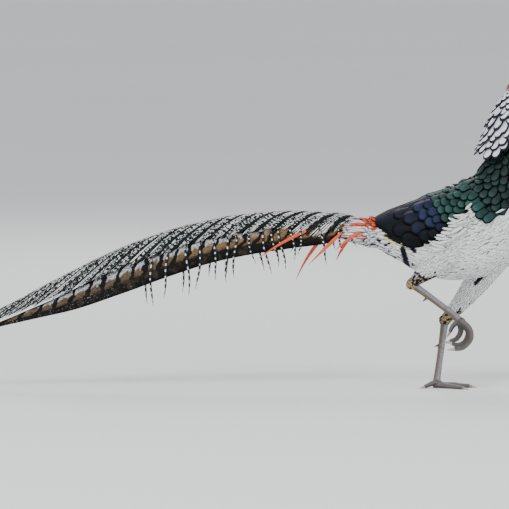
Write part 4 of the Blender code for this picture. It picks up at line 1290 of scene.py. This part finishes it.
class PHEASANT_OT_tail(PieceOperator):
    """Long roof of the tail: a barred centre pair over four pairs of side feathers, with strands that hang"""

    bl_idname = "pheasant.tail"
    bl_label = "Tail"

    def execute(self, context):
        self.centre(context)
        self.sides(context)
        self.strands(context)
        return {"FINISHED"}

    def centre(self, context):
        """The centre pair: groups of barbs that leave the ridge and sweep back over the roof."""
        tail = context.scene.pheasant_tail
        chance = np.random.default_rng(31)
        template = vane_template(2, 8)
        u, v, w, _ = template
        whole = float(tail_run(TAIL_LAST))
        count = tail.barbs
        start = np.repeat(np.linspace(0.0005, whole * 0.985, count), 2)[:, None]
        side = np.tile((-1.0, 1.0), count)[:, None]
        pitch = whole / count
        web = mix(0.62, 0.84, smooth(0.72, 0.90, start / whole)) * np.clip(0.5 + start / 0.02, 0, 1)
        web = mix(0.80, web, smooth(0.025, 0.055, start)) * chance.uniform(0.93, 1.03, start.shape)
        phase = bar_phase(start + chance.uniform(-0.0012, 0.0012, start.shape), tail.bar_pitch) % 1
        open_web = (phase > SLIT[0]) & (phase < SLIT[1]) & (chance.random(start.shape) < 0.85)
        torn = smooth(0.30, 0.42, start / whole) * open_web
        web = web * (1 - 0.66 * torn)
        wide = pitch * (1.45 - 0.35 * chance.random(start.shape))
        share = v[None] * web
        t = tail_place(start)
        beside = u * wide * 0.5 * (1 - 0.30 * v**3 * smooth(0.2, 0.5, start / whole))
        run = start + barb_sweep(start) * tail_cross(t, share) * (1 + 0.25 * v) + beside
        sink = chance.uniform(0, 0.0008, start.shape) + 0.0012 * v**2 * chance.random(start.shape)
        t = tail_place(np.clip(run, 0, whole))
        points = on_tail(t, side * share, sink - w * 0.0002)
        points[..., 2] += at(ROOT_LIFT, run)
        count = len(start)
        web_map = np.stack([start + beside + 0.002 * share, np.broadcast_to(share, run.shape)], axis=-1)
        mesh = feather_mesh("tail_centre", template, points, np.ones(3), np.ones(3), None, web_map)
        self.unwrap(mesh, run, np.broadcast_to(share, run.shape), np.broadcast_to(side, run.shape))
        own(mesh, "tail_centre", tail_material(tail), ("tail",))

    def unwrap(self, mesh, run, share, side):
        """The map for baking: the roof unrolled, its sides and the halves of its length in four bands."""
        half = float(tail_run(TAIL_LAST)) / 2
        second = run.mean(axis=1, keepdims=True) > half
        x = 0.02 + 0.90 * (run - second * half) / half
        y = 0.01 + 0.25 * (2 * second + (side > 0)) + 0.22 * np.abs(share)
        add_map(mesh, "OFBake", np.stack([np.clip(x, 0.001, 0.999), np.broadcast_to(y, x.shape)], axis=-1))

    def sides(self, context):
        """Side feathers under the centre pair, their lower webs showing."""
        tail = context.scene.pheasant_tail
        template = vane_template(6, 60)
        u, v, w, _ = template
        points, webs = [], []
        for side in (-1, 1):
            for level, length, start in SIDE_FEATHERS:
                upper = mix(start, max(start, 0.56), smooth(0.26, 0.40, v * length))
                upper = mix(upper, 0.80, np.clip((v - 0.60) / 0.40, 0, 1) ** 1.5)
                lower = mix(0.98, 0.86, np.clip((v - 0.72) / 0.28, 0, 1) ** 1.5)
                narrow = np.minimum(1, 0.25 + 5 * v)
                share = 0.5 + (mix(upper, lower, (u + 1) / 2) - 0.5) * narrow
                t = v * length * TAIL_LAST
                ripple = 0.0004 * np.sin(u * 9 + v * 60)
                points.append(on_tail(t, side * share, level + ripple - w * 0.0003))
                webs.append(np.stack([tail_run(t), share], axis=-1))
        points, webs = np.array(points), np.array(webs)
        cells = grid_cells(np.zeros(8), np.arange(8), 1, 8)
        mesh = feather_mesh("tail_sides", template, points, np.ones(3), np.ones(3), cells, webs)
        own(mesh, "tail_sides", side_material(tail))

    def strands(self, context):
        """Long barred barbs that leave the web's edge and hang straight down past the tail."""
        tail = context.scene.pheasant_tail
        chance = np.random.default_rng(41)
        template = vane_template(2, 16)
        u, v, w, _ = template
        whole = float(tail_run(TAIL_LAST))
        rows = np.array((*STRANDS, *STRANDS[1::2]))
        count = len(rows)
        side = np.where(np.arange(count) < len(STRANDS), -1.0, 1.0)[:, None]
        x0, x1, low = rows.T[:, :, None]
        x0, x1 = x0 - 0.007 * (side > 0), x1 - 0.010 * (side > 0)
        start = STRAND_LEAVE - x0
        part = np.minimum(1, v / 0.45)
        share = mix(0.34, STRAND_SHARE, part)
        half = 0.5 * mix(0.0042, 0.0024, v**1.5) * (1 - 0.8 * smooth(0.85, 1.0, v))
        across = tail_cross(tail_place(start), share) - tail_cross(tail_place(start), STRAND_SHARE)
        run = start + barb_sweep(start) * across
        points = on_tail(tail_place(np.clip(run + u * half, 0, whole)), side * share, -0.0010 - w * 0.00025)
        leave = on_tail(tail_place(start), side[:, 0:1] * STRAND_SHARE, -0.0010)
        fall = np.clip((v - 0.45) / 0.55, 0, 1)
        bow = np.maximum(0.0, axis_frame(TAIL, tail_place(start))[3][..., 1] + 0.0022 - np.abs(leave[..., 1]))
        outwards = np.abs(leave[..., 1]) + bow * smooth(0.0, 0.35, fall)
        down = mix(leave[..., 2], low, fall)
        back = mix(leave[..., 0], x1, fall) + 0.002 * np.sin(5 * fall + 40 * x0)
        hanging = np.stack([back + u * half, side * outwards - w * 0.00025 * side, down + 0 * u], axis=-1)
        points = np.where((fall > 0)[None, :, None], hanging, points)
        lengths = np.broadcast_to(v * 0.075, run.shape)
        web_map = np.stack(
            [lengths + chance.uniform(0, 0.01, (count, 1)), np.broadcast_to(u, run.shape)], axis=-1
        )
        cells = grid_cells(np.arange(count) // 7, np.arange(count) % 7, math.ceil(count / 7), 7)
        mesh = feather_mesh("tail_strands", template, points, np.ones(3), np.ones(3), cells, web_map)
        own(mesh, "tail_strands", strand_material(tail))


def bar_count(tree, along, run, pitch):
    """The same count as bar_phase, for a material: along is the run with its own wander."""
    past = maths(tree, "MAXIMUM", maths(tree, "SUBTRACT", run, BAR_EVEN), 0.0)
    spread = times(tree, times(tree, past, past), -BAR_SPREAD)
    return maths(tree, "ADD", maths(tree, "DIVIDE", along, pitch), spread)


def tail_material(tail):
    """Pale web with fine dark wavy lines and broad dark bars that follow the barbs."""
    made, tree, shader = principled("Tail centre", roughness=0.6, specular=0.2)
    run, share = web_of(tree)
    shift = maths(tree, "MULTIPLY_ADD", noise(tree, 130.0), 2 * BAR_WANDER, run)
    phase = maths(tree, "FRACT", bar_count(tree, shift, run, tail.bar_pitch))
    centred = maths(tree, "ABSOLUTE", maths(tree, "SUBTRACT", phase, 0.5))
    dark = times(tree, ramp(tree, share, 0.0, 0.30, 0.60, 1.0), tail.bar_share / 2)
    dark = times(tree, dark, ramp(tree, run, 0.15, 0.35, 1.0, 0.90))
    bar = ramp(tree, maths(tree, "SUBTRACT", centred, dark), 0.015, -0.02)
    across = maths(tree, "MULTIPLY_ADD", share, 21.0, times(tree, run, 120.0))
    wavy = maths(tree, "MULTIPLY_ADD", noise(tree, 230.0, 1.0), 2.4, across)
    lines = maths(tree, "SINE", times(tree, wavy, 2 * math.pi))
    outer = ramp(tree, run, 0.14, 0.24)
    line = ramp(tree, maths(tree, "MULTIPLY_ADD", outer, 0.35, lines), 0.0, 0.35)
    line = times(tree, line, maths(tree, "MAXIMUM", ramp(tree, share, 0.58, 0.52), outer))
    colour = blend_colours(tree, line, tail.white, tail.dark)
    colour = blend_colours(tree, bar, colour, tail.dark)
    shaft = times(tree, ramp(tree, share, 0.105, 0.080), ramp(tree, run, 0.15, 0.30, 1.0, 0.6))
    colour = blend_colours(tree, shaft, colour, (0.75, 0.74, 0.70))
    finished(tree, shader, shaded(tree, colour, 40.0, 0.3), lines, 0.15, 0.0002)
    return made


def side_material(tail):
    """Buff web with dark bars, above a dark lower edge that is painted shade of the tail's underside."""
    made, tree, shader = principled("Tail sides", roughness=0.75, specular=0.12)
    run, share = web_of(tree)
    wander = noise(tree, 90.0, 3.0)
    slanted = maths(tree, "MULTIPLY_ADD", share, -0.06, maths(tree, "MULTIPLY_ADD", wander, 0.020, run))
    phase = maths(tree, "FRACT", bar_count(tree, slanted, run, tail.bar_pitch))
    bar = ramp(tree, maths(tree, "ABSOLUTE", maths(tree, "SUBTRACT", phase, 0.5)), 0.22, 0.12)
    uneven = maths(tree, "MULTIPLY_ADD", wander, 0.10, share)
    bottom = maths(tree, "MULTIPLY_ADD", maths(tree, "SINE", times(tree, phase, math.pi)), -0.05, uneven)
    silver = times(tree, ramp(tree, bottom, 0.74, 0.68), ramp(tree, run, 0.12, 0.20))
    ground = blend_colours(tree, ramp(tree, run, 0.12, 0.40), tail.buff, (0.105, 0.075, 0.046))
    ground = blend_colours(tree, silver, ground, tail.silver)
    streak = noise(tree, 420.0, 3.0)
    ground = blend_colours(tree, ramp(tree, streak, 0.50, 0.62, 0.0, 0.55), ground, tail.lower)
    colour = blend_colours(tree, bar, ground, tail.lower)
    # The lower edge of each web is painted shade of the tail's underside, with some brown and frayed silver in
    # it
    edge = blend_colours(tree, ramp(tree, wander, 0.52, 0.64, 0.0, 0.5), tail.lower, (0.06, 0.045, 0.028))
    frayed = times(tree, ramp(tree, streak, 0.60, 0.70, 0.0, 0.4), ramp(tree, run, 0.30, 0.42))
    edge = blend_colours(tree, frayed, edge, tail.silver)
    colour = blend_colours(tree, ramp(tree, uneven, 0.82, 0.88), colour, edge)
    barbs = maths(tree, "SINE", times(tree, maths(tree, "MULTIPLY_ADD", share, 0.05, run), 2600.0))
    finished(tree, shader, shaded(tree, colour, 70.0, 0.5), barbs)
    return made


def strand_material(tail):
    """Narrow barbs barred dark and pale along their length."""
    made, tree, shader = principled("Tail strands", roughness=0.6, specular=0.3)
    run, across = web_of(tree)
    along = maths(tree, "MULTIPLY_ADD", noise(tree, 200.0), 0.003, run)
    phase = maths(tree, "FRACT", maths(tree, "DIVIDE", along, STRAND_PITCH))
    pale = times(tree, ramp(tree, phase, 0.60, 0.72), ramp(tree, across, 0.45, 0.0))
    finished(tree, shader, shaded(tree, blend_colours(tree, pale, tail.dark, tail.white)))
    return made


# Pointed red coverts over the tail, on the right and the left side: x and z of root, middle and tip
SPIKES = {
    -1: (
        ((-0.178, 0.2268), (-0.212, 0.2175), (-0.2570, 0.1846)),
        ((-0.134, 0.2235), (-0.156, 0.2050), (-0.1830, 0.1775)),
        ((-0.106, 0.2240), (-0.124, 0.2185), (-0.1455, 0.1974)),
    ),
    1: (
        ((-0.150, 0.2250), (-0.184, 0.1920), (-0.2000, 0.1505)),
        ((-0.118, 0.2200), (-0.134, 0.2000), (-0.1430, 0.1775)),
        ((-0.176, 0.2260), (-0.205, 0.2160), (-0.2440, 0.1900)),
    ),
}
SPIKE_WIDTH = 0.0062
COVERT_ROWS, COVERT_COLUMNS = 9, 30


class PHEASANT_OT_coverts(PieceOperator):
    """Short pale coverts round the root of the tail, and the long pointed red ones"""

    bl_idname = "pheasant.coverts"
    bl_label = "Tail coverts"

    def execute(self, context):
        plumage = context.scene.pheasant_plumage
        self.collar(plumage)
        self.spikes(plumage)
        return {"FINISHED"}

    def collar(self, plumage):
        """Shaggy white feathers with red and black ones among them."""
        chance = np.random.default_rng(51)
        template = vane_template(2, 5, 1.0)
        count = COVERT_ROWS * COVERT_COLUMNS
        row, column = np.arange(count) // COVERT_COLUMNS, np.arange(count) % COVERT_COLUMNS
        turn = (column + 0.5 * (row % 2)) / COVERT_COLUMNS * 2 * np.pi - np.pi + chance.normal(0, 0.05, count)
        start = 1.05 + 0.17 * row
        length = chance.uniform(0.010, 0.015, count)
        end = np.maximum(start - length / axis_frame(BODY, start)[2], 0.35)
        high = 0.0024 + 0.0004 * row + chance.uniform(0, 0.0018, count) + 0.0030 * np.maximum(0, np.cos(turn))
        width = chance.uniform(0.0032, 0.0046, count)
        tip_turn = turn + chance.normal(0, 0.10, count)
        points = body_vanes(
            template, (start, turn), (end, tip_turn), width, -0.001, high, thick=0.0004, camber=0.0006
        )
        above = np.cos(turn) > 0.25
        red = chance.random(count) < np.where(above, 0.42 + 0.05 * row, 0.05)
        black = ~red & (
            chance.random(count) < np.where(above, 0.05, np.where(np.cos(turn) < -0.5, 0.40, 0.08))
        )
        inner = np.where(
            red[:, None], plumage.covert_tip, np.where(black[:, None], plumage.cape_rim, plumage.cape)
        )
        inner = inner * chance.uniform(0.8, 1.05, (count, 1))
        cells = grid_cells(row, column, COVERT_ROWS, COVERT_COLUMNS)
        mesh = feather_mesh("covert_feathers", template, points, inner, inner * 0.75, cells)
        finish = {"roughness": 0.6, "specular": 0.3}
        material = feather_material("Covert feathers", 0.85, 0.1, barbs=12.0, root=0.8, bump=0.2, **finish)
        own(mesh, "covert_feathers", material)

    def spikes(self, plumage):
        """Stiff red points that leave the tail's sides."""
        template = vane_template(4, 14)
        u, v, w, _ = template
        part = v[:, None]
        points = []
        for side, rows in SPIKES.items():
            for (x0, z0), (x1, z1), (x2, z2) in rows:
                start = np.array((x0, 0.0165 * side, z0))
                middle = np.array((x1, 0.0345 * side, z1))
                end = np.array((x2, 0.0350 * side, z2))
                across = np.cross(end - start, (0, side, 0))
                across = across / np.linalg.norm(across)
                path = mix(mix(start, middle, part), mix(middle, end, part), part)
                half = 0.5 * SPIKE_WIDTH * (1 - 0.97 * v**1.8) * np.minimum(1, 0.5 + 1.5 * v)
                crown = side * (0.0008 * (1 - u**2) + w * 0.0003)
                points.append(path + across * (u * half)[:, None] + np.stack([0 * u, crown, 0 * u], axis=-1))
        cells = grid_cells(np.arange(6) // 3, np.arange(6) % 3, 2, 3)
        red = np.array(plumage.covert_tip)
        mesh = feather_mesh("red_coverts", template, np.array(points), red, red * 0.6, cells)
        finish = {"roughness": 0.5, "specular": 0.4}
        material = feather_material(
            "Red coverts", 0.8, 0.2, 60.0, 0.15, root=1.0, strength=0.35, bump=0.3, **finish
        )
        own(mesh, "red_coverts", material)


def nearest(points, samples):
    """Index of the sample nearest to each point."""
    away = (samples**2).sum(axis=1) - 2 * points @ samples.T
    return away.argmin(axis=1)


class PHEASANT_OT_legs(PieceOperator):
    """Shanks and feet with scutes in front and small scales behind, and the claws"""

    bl_idname = "pheasant.legs"
    bl_label = "Legs"

    def execute(self, context):
        legs = context.scene.pheasant_legs
        scales = leg_material()
        horn = claw_material()
        for side in ("right", "left"):
            self.leg(legs, side, scales)
            self.claws(side, horn)
        return {"FINISHED"}

    def leg(self, legs, side, scales):
        """One skin over the shank, the hock, the pad and the toes, with the spur."""
        bm = bmesh.new()
        limbs = [(SHANKS[side], SHANK_FLAT, legs.scute, 1)]
        for index, rows in enumerate(TOES[side]):
            limbs.append((rows, 1.0, legs.scute * 0.62, 1 if index < 3 else -1))
        for rows, flat, scute, front in limbs:

            def ridge(run, turns, scute=scute, front=front):
                step = (run / scute) % 1.0
                ahead = smooth(0.0, 0.5, front * np.cos(turns))
                return SCUTE_RELIEF * (step - 0.4) * ahead * smooth(1.0, 0.86, step)

            loft_mesh(bm, tube_rings(rows, 24, 40, flat, ridge))
        *pad, pad_radius = PADS[side]
        for centre, radius in ((SHANKS[side][0][:3], HOCK_RADIUS), (pad, pad_radius)):
            matrix = Matrix.Translation(centre)
            bmesh.ops.create_uvsphere(bm, u_segments=24, v_segments=14, radius=radius, matrix=matrix)
        middle, tip = self.spur(side)
        loft_mesh(bm, tube_rings((middle, tip), 12, 6))
        mesh = remeshed(bm, f"leg_{side}", 0.00042, 1)
        places = corners_of(mesh)
        if side == "left":
            places[:, 2] = np.maximum(places[:, 2], 0.0)
            mesh.vertices.foreach_set("co", places.ravel())
        self.tone(legs, mesh, places, limbs, middle, tip)
        own(mesh, f"leg_{side}", scales, (f"shank_{side}", f"foot_{side}"))

    def spur(self, side):
        """Root and point of the cock's spur."""
        root = between(SHANKS[side], SPUR_PLACE)[:3]
        along = np.array((-1, 0.45, -0.9) if side == "right" else (-1, -0.45, -0.35))
        along = along / np.linalg.norm(along)
        return (*root, SPUR_RADIUS), (*(root + along * SPUR_LENGTH), SPUR_RADIUS * 0.2)

    def tone(self, legs, mesh, places, limbs, middle, tip):
        """Colours, and marks for the scales: 1 in front, the run along the limb in scutes, and the spur."""
        samples, fronts, runs = [], [], []
        for rows, _, scute, front in limbs:
            along = np.linspace(0, len(rows) - 1, 120)
            centre, _, ahead, _, _ = limb_frame(np.array(rows), along)
            samples.append(centre)
            fronts.append(ahead * front)
            runs.append(limb_run(np.array(rows), along) / scute)
        samples, fronts, runs = [np.concatenate(each) for each in (samples, fronts, runs)]
        found = nearest(places, samples)
        out = places - samples[found]
        out = out / np.maximum(np.linalg.norm(out, axis=1, keepdims=True), 1e-6)
        dorsal = smooth(-0.35, 0.15, (out * fronts[found]).sum(axis=1))
        root, point = np.array(middle[:3]), np.array(tip[:3])
        share = (places - root) @ (point - root) / SPUR_LENGTH**2
        away = np.linalg.norm(places - root - share[:, None] * (point - root), axis=1)
        horn = smooth(0.35, 0.5, share) * (away < SPUR_RADIUS * 1.5)
        toe = (found >= 120)[:, None]
        front, rear = np.array(legs.scale_colour), np.array(legs.rear_colour)
        under = np.array(legs.toe_colour) * 0.6
        front, rear = mix(front, np.array(legs.toe_colour), toe), mix(rear, under, toe)
        tone = mix(mix(rear, front, dorsal[:, None]), under, horn[:, None])
        paint(mesh, "Tone", tone)
        paint(mesh, "Scales", np.stack([dorsal, runs[found], horn], axis=-1))

    def claws(self, side, horn):
        bm = bmesh.new()
        for rows in TOES[side]:
            end, before = Vector(rows[-1][:3]), Vector(rows[-2][:3])
            ahead = (end - before).normalized()
            radius = rows[-1][3] * CLAW_ROOT
            bend = radius * CLAW_POINT / 2 - end.z - ahead.z * CLAW_LENGTH if side == "left" else CLAW_BEND
            path = []
            for s in np.linspace(0, 1, 6):
                place = end + ahead * (CLAW_GAP + CLAW_LENGTH * s) + Vector((0, 0, bend * s * s))
                path.append((*place, radius * (1 - (1 - CLAW_POINT) * s**1.3)))
            loft_mesh(bm, tube_rings(path, 16, 4, 0.8))
        bmesh.ops.recalc_face_normals(bm, faces=bm.faces)
        if side == "left":
            for vert in bm.verts:
                vert.co.z = max(vert.co.z, 0.0)
        name = f"claws_{side}"
        own(mesh_of(bm, name), name, horn, [f"claw_{side}_{i + 1}" for i in range(len(TOES[side]))])


def leg_material():
    """Scutes in front and small scales behind, dark in the seams between them."""
    made, tree, shader = principled("Leg scales", roughness=0.42, specular=0.5)
    dorsal, run = node(tree, "ShaderNodeSeparateXYZ", {0: attribute(tree, "Scales")}).outputs[:2]
    centred = maths(tree, "ABSOLUTE", maths(tree, "SUBTRACT", maths(tree, "FRACT", run), 0.5))
    seam = times(tree, ramp(tree, centred, 0.40, 0.48), dorsal)
    sockets = {"Vector": place_of(tree), "Scale": 620.0}
    cells = node(tree, "ShaderNodeTexVoronoi", sockets, feature="DISTANCE_TO_EDGE").outputs["Distance"]
    crack = times(tree, ramp(tree, cells, 0.10, 0.02), ramp(tree, dorsal, 0.7, 0.3))
    dark = maths(tree, "MAXIMUM", seam, crack)
    ground = shaded(tree, attribute(tree, "Tone"), 160.0, 0.7)
    colour = blend_colours(tree, times(tree, dark, 0.6), ground, (0.03, 0.027, 0.025))
    finished(tree, shader, colour, maths(tree, "SUBTRACT", 1.0, dark), 0.4)
    return made


# Sections of the two halves of the bill: x, z, half height, half width
UPPER_BILL = (
    (0.1720, 0.4338, 0.0050, 0.0068), (0.1780, 0.4330, 0.0047, 0.0060), (0.1850, 0.4322, 0.0042, 0.0049),
    (0.1925, 0.4302, 0.0033, 0.0034), (0.1990, 0.4265, 0.0013, 0.0012),
)
LOWER_BILL = (
    (0.1720, 0.4255, 0.0024, 0.0062), (0.1780, 0.4254, 0.0023, 0.0055), (0.1850, 0.4254, 0.0021, 0.0044),
    (0.1915, 0.4250, 0.0015, 0.0028), (0.1955, 0.4245, 0.0007, 0.0012),
)
NOSTRIL, NOSTRIL_SIZE = (0.1797, 0.0061, 0.4343), (0.0023, 0.0018, 0.0009)
NOSTRIL_DEPTH = 0.0009
IRIS_RADIUS, PUPIL_RADIUS = 0.0045, 0.0025


def claw_material():
    """Streaked horn, paler in patches."""
    made, tree, shader = principled("Claw horn", roughness=0.32, specular=0.5)
    streak = noise(tree, 220.0, 4.0)
    colour = blend_colours(tree, ramp(tree, streak, 0.35, 0.65), (0.26, 0.23, 0.21), (0.55, 0.51, 0.48))
    finished(tree, shader, shaded(tree, colour, 90.0, 0.3), streak, 0.12, 0.0002)
    return made


def away_from(tree, centre, scale):
    """How far each point is from the centre, with each axis scaled."""
    offset = vectors(tree, "MULTIPLY", vectors(tree, "SUBTRACT", place_of(tree), centre), scale)
    return node(tree, "ShaderNodeVectorMath", {0: offset}, operation="LENGTH").outputs["Value"]


def bill_material():
    """Grey horn streaked along its length, paler at the point, and near-black in the nostrils as painted shade.
    """
    made, tree, shader = principled("Bill horn", roughness=0.34, specular=0.5, Coat_Weight=0.2)
    place = place_of(tree)
    streak = noise(tree, 1.0, 4.0, vectors(tree, "MULTIPLY", place, (60.0, 500.0, 500.0)))
    point = ramp(tree, node(tree, "ShaderNodeSeparateXYZ", {0: place}).outputs[0], 0.180, 0.198)
    colour = blend_colours(tree, point, (0.21, 0.26, 0.25), (0.42, 0.42, 0.34))
    dark = times(tree, ramp(tree, streak, 0.45, 0.75), 0.5)
    colour = blend_colours(tree, dark, colour, (0.07, 0.08, 0.075))
    (x, _, z), (long, _, high) = NOSTRIL, NOSTRIL_SIZE
    away = away_from(tree, (x, 0.0, z), (1 / long, 0.0, 1 / high))
    # Painted shade: the hollows of the nostrils near-black
    colour = blend_colours(tree, ramp(tree, away, 0.9, 0.5), colour, (0.012, 0.012, 0.012))
    finished(tree, shader, shaded(tree, colour, 120.0, 0.25), streak, 0.15, 0.0002)
    return made


def eye_material():
    """Pale fibrous iris with a dark rim, round a black pupil."""
    made, tree, shader = principled("Eye", roughness=0.08, specular=0.6, Coat_Weight=1.0, Coat_Roughness=0.02)
    away = away_from(tree, (EYE_SPOT[0], 0.0, EYE_SPOT[2]), (1.0, 0.0, 1.0))
    fibres = ramp(tree, noise(tree, 1400.0), 0.35, 0.7)
    iris = blend_colours(tree, fibres, (0.72, 0.66, 0.36), (0.86, 0.83, 0.66))
    rim = ramp(tree, away, IRIS_RADIUS - 0.0008, IRIS_RADIUS)
    colour = blend_colours(tree, rim, iris, (0.03, 0.025, 0.02))
    pupil = ramp(tree, away, PUPIL_RADIUS + 0.0001, PUPIL_RADIUS - 0.0002)
    finished(tree, shader, blend_colours(tree, pupil, colour, (0.002, 0.002, 0.002)))
    return made


def face_material(skin):
    """Bare skin with small bumps, with painted shade in the hollows between them."""
    finish = {"roughness": 0.5, "specular": 0.4, "Subsurface_Weight": 0.15, "Subsurface_Scale": 0.002}
    made, tree, shader = principled("Face skin", **finish)
    sockets = {"Vector": place_of(tree), "Scale": 900.0}
    pimples = node(tree, "ShaderNodeTexVoronoi", sockets).outputs["Distance"]
    height = maths(tree, "MULTIPLY_ADD", noise(tree, 260.0, 3.0), 0.8, maths(tree, "SUBTRACT", 1.0, pimples))
    # Painted shade: darker in the hollows between the bumps
    colour = blend_colours(tree, ramp(tree, pimples, 0.25, 0.6), skin, [0.55 * part for part in skin])
    finished(tree, shader, shaded(tree, colour, 200.0, 0.5), height, 0.5, 0.0004)
    return made


class PHEASANT_OT_face(PieceOperator):
    """Bill, eyes, and the bare skin with its lids and lappets"""

    bl_idname = "pheasant.face"
    bl_label = "Face"

    def execute(self, context):
        self.bill()
        self.eyes()
        self.skin(context.scene.pheasant_plumage.bare_skin)
        return {"FINISHED"}

    def bill(self):
        bm = bmesh.new()
        turns = np.linspace(0, 2 * np.pi, 28, endpoint=False)
        keel = 1 + 0.10 * np.maximum(0, np.cos(turns)) ** 6
        for rows in (UPPER_BILL, LOWER_BILL):
            rings = []
            for t in np.linspace(0, len(rows) - 1, 40):
                x, z, height, width = between(rows, t)
                out, up = width * np.sin(turns), height * keel * np.cos(turns)
                rings.append(np.stack([0 * turns + x, out, z + up], axis=-1))
            loft_mesh(bm, rings)
        mesh = remeshed(bm, "bill", 0.00030, 1)
        places = corners_of(mesh)
        for side in (-1, 1):
            away = (places - np.array(NOSTRIL) * (1, side, 1)) / NOSTRIL_SIZE
            places[:, 1] -= side * NOSTRIL_DEPTH * smooth(1.0, 0.5, np.linalg.norm(away, axis=1))
        mesh.vertices.foreach_set("co", places.ravel())
        own(mesh, "bill", bill_material(), ("bill_upper", "bill_lower"))

    def eyes(self):
        material = eye_material()
        for side, word in SIDES:
            bm = bmesh.new()
            spot = Matrix.Translation((EYE_SPOT[0], EYE_SPOT[1] * side, EYE_SPOT[2]))
            turned = spot @ Matrix.Rotation(math.pi / 2, 4, "X")
            bmesh.ops.create_uvsphere(bm, u_segments=48, v_segments=32, radius=EYE_RADIUS, matrix=turned)
            own(mesh_of(bm, f"eye_{word}_ball"), f"eye_{word}_ball", material, (f"eye_{word}",))

    def skin(self, colour):
        """Bare patch, lappet and lids of both sides."""
        bm = bmesh.new()
        for side in (-1, 1):
            for (x, y, z), radii in FACE_PATCHES:
                centre = Vector((EYE_SPOT[0] + x, (EYE_SPOT[1] + y) * side, EYE_SPOT[2] + z))
                matrix = Matrix.Translation(centre) @ Matrix.Diagonal((*radii, 1))
                bmesh.ops.create_uvsphere(bm, u_segments=40, v_segments=24, radius=1, matrix=matrix)
            depth = EYE_RADIUS * 0.5
            self.lid(bm, side, depth, math.sqrt(EYE_RADIUS**2 - depth**2) + LID_RADIUS * 0.5)
        own(remeshed(bm, "face_skin", 0.00034, 1), "face_skin", face_material(colour))

    def lid(self, bm, side, depth, across):
        """A ring of skin round the eye, a little narrower from top to bottom than from front to back."""
        rows = []
        for turn in np.linspace(0, 2 * np.pi, 40, endpoint=False):
            x, z = across * math.cos(turn), across * 0.94 * math.sin(turn)
            centre = Vector((EYE_SPOT[0] + x, (EYE_SPOT[1] + depth) * side, EYE_SPOT[2] + z))
            out = Vector((math.cos(turn), 0, math.sin(turn)))
            ring = []
            for part in np.linspace(0, 2 * np.pi, 10, endpoint=False):
                away = out * math.cos(part) + Vector((0, side, 0)) * math.sin(part)
                ring.append(centre + away * LID_RADIUS)
            rows.append([bm.verts.new(point) for point in ring])
        for low, high in zip(rows, rows[1:] + rows[:1]):
            for i in range(10):
                j = (i + 1) % 10
                bm.faces.new((low[i], low[j], high[j], high[i]))


class PHEASANT_OT_stage(PieceOperator):
    """Pale floor, soft lights and the camera"""

    bl_idname = "pheasant.stage"
    bl_label = "Stage"

    def execute(self, context):
        stage = context.scene.pheasant_stage
        bm = bmesh.new()
        bmesh.ops.create_circle(bm, cap_ends=True, segments=96, radius=60)
        floor = bpy.data.objects.new("floor", mesh_of(bm, "floor"))
        context.scene.collection.objects.link(floor)
        made, tree, shader = principled("Floor", roughness=0.9, specular=0.1)
        finished(tree, shader, shaded(tree, stage.floor, 0.6, 0.05))
        floor.data.materials.append(made)
        world = bpy.data.worlds.new("studio")
        world.use_nodes = True
        sky = world.node_tree.nodes["Background"].inputs
        sky["Color"].default_value = (0.93, 0.96, 1.0, 1)
        sky["Strength"].default_value = 0.85
        context.scene.world = world
        middle = Vector((-0.259, 0, 0.190))
        for name, place, size, power in (
            ("key", (-1.2, -2.6, 3.0), 1.8, 95),
            ("fill", (2.4, -2.2, 1.4), 2.2, 30),
            ("back", (-0.4, 2.6, 2.4), 2.0, 45),
        ):
            light = bpy.data.lights.new(name, "AREA")
            light.shape = "DISK"
            light.size = size
            light.energy = power
            lamp = bpy.data.objects.new(name, light)
            lamp.location = place
            lamp.rotation_euler = (middle - lamp.location).to_track_quat("-Z", "Y").to_euler()
            context.scene.collection.objects.link(lamp)
        camera = bpy.data.objects.new("camera", bpy.data.cameras.new("camera"))
        back = Vector((0, -math.cos(stage.elevation), math.sin(stage.elevation)))
        camera.location = middle + back * stage.distance
        camera.rotation_euler = (-back).to_track_quat("-Z", "Y").to_euler()
        camera.data.lens = camera.data.sensor_width * stage.distance / stage.view_width
        camera.data.clip_end = 200
        context.scene.collection.objects.link(camera)
        context.scene.camera = camera
        return {"FINISHED"}


OPERATORS = (
    PHEASANT_OT_skin,
    PHEASANT_OT_coat,
    PHEASANT_OT_thighs,
    PHEASANT_OT_head,
    PHEASANT_OT_cape,
    PHEASANT_OT_crest,
    PHEASANT_OT_wings,
    PHEASANT_OT_tail,
    PHEASANT_OT_coverts,
    PHEASANT_OT_legs,
    PHEASANT_OT_face,
    PHEASANT_OT_stage,
)
SETTINGS = (
    ("pheasant_plumage", PlumageSettings),
    ("pheasant_tail", TailSettings),
    ("pheasant_legs", LegSettings),
    ("pheasant_stage", StageSettings),
)


class PHEASANT_PT_panel(bpy.types.Panel):
    bl_idname = "PHEASANT_PT_panel"
    bl_label = "Ruffed pheasant"
    bl_space_type = "VIEW_3D"
    bl_region_type = "UI"
    bl_category = "Pheasant"

    def draw(self, context):
        for operator in OPERATORS:
            self.layout.operator(operator.bl_idname)
        for name, group in SETTINGS:
            box = self.layout.box()
            for key in group.__annotations__:
                box.prop(getattr(context.scene, name), key)


def register():
    for name, group in SETTINGS:
        bpy.utils.register_class(group)
        setattr(bpy.types.Scene, name, bpy.props.PointerProperty(type=group))
    for made in (*OPERATORS, PHEASANT_PT_panel):
        bpy.utils.register_class(made)


def unregister():
    for made in (PHEASANT_PT_panel, *OPERATORS[::-1]):
        bpy.utils.unregister_class(made)
    for name, group in SETTINGS[::-1]:
        delattr(bpy.types.Scene, name)
        bpy.utils.unregister_class(group)


def main():
    register()
    for obj in list(bpy.context.scene.objects):
        if obj.name in ("Cube", "Light", "Camera"):
            bpy.data.objects.remove(obj)
    for operator in OPERATORS:
        getattr(bpy.ops.pheasant, operator.bl_idname.split(".")[1])()


if __name__ == "__main__":
    main()
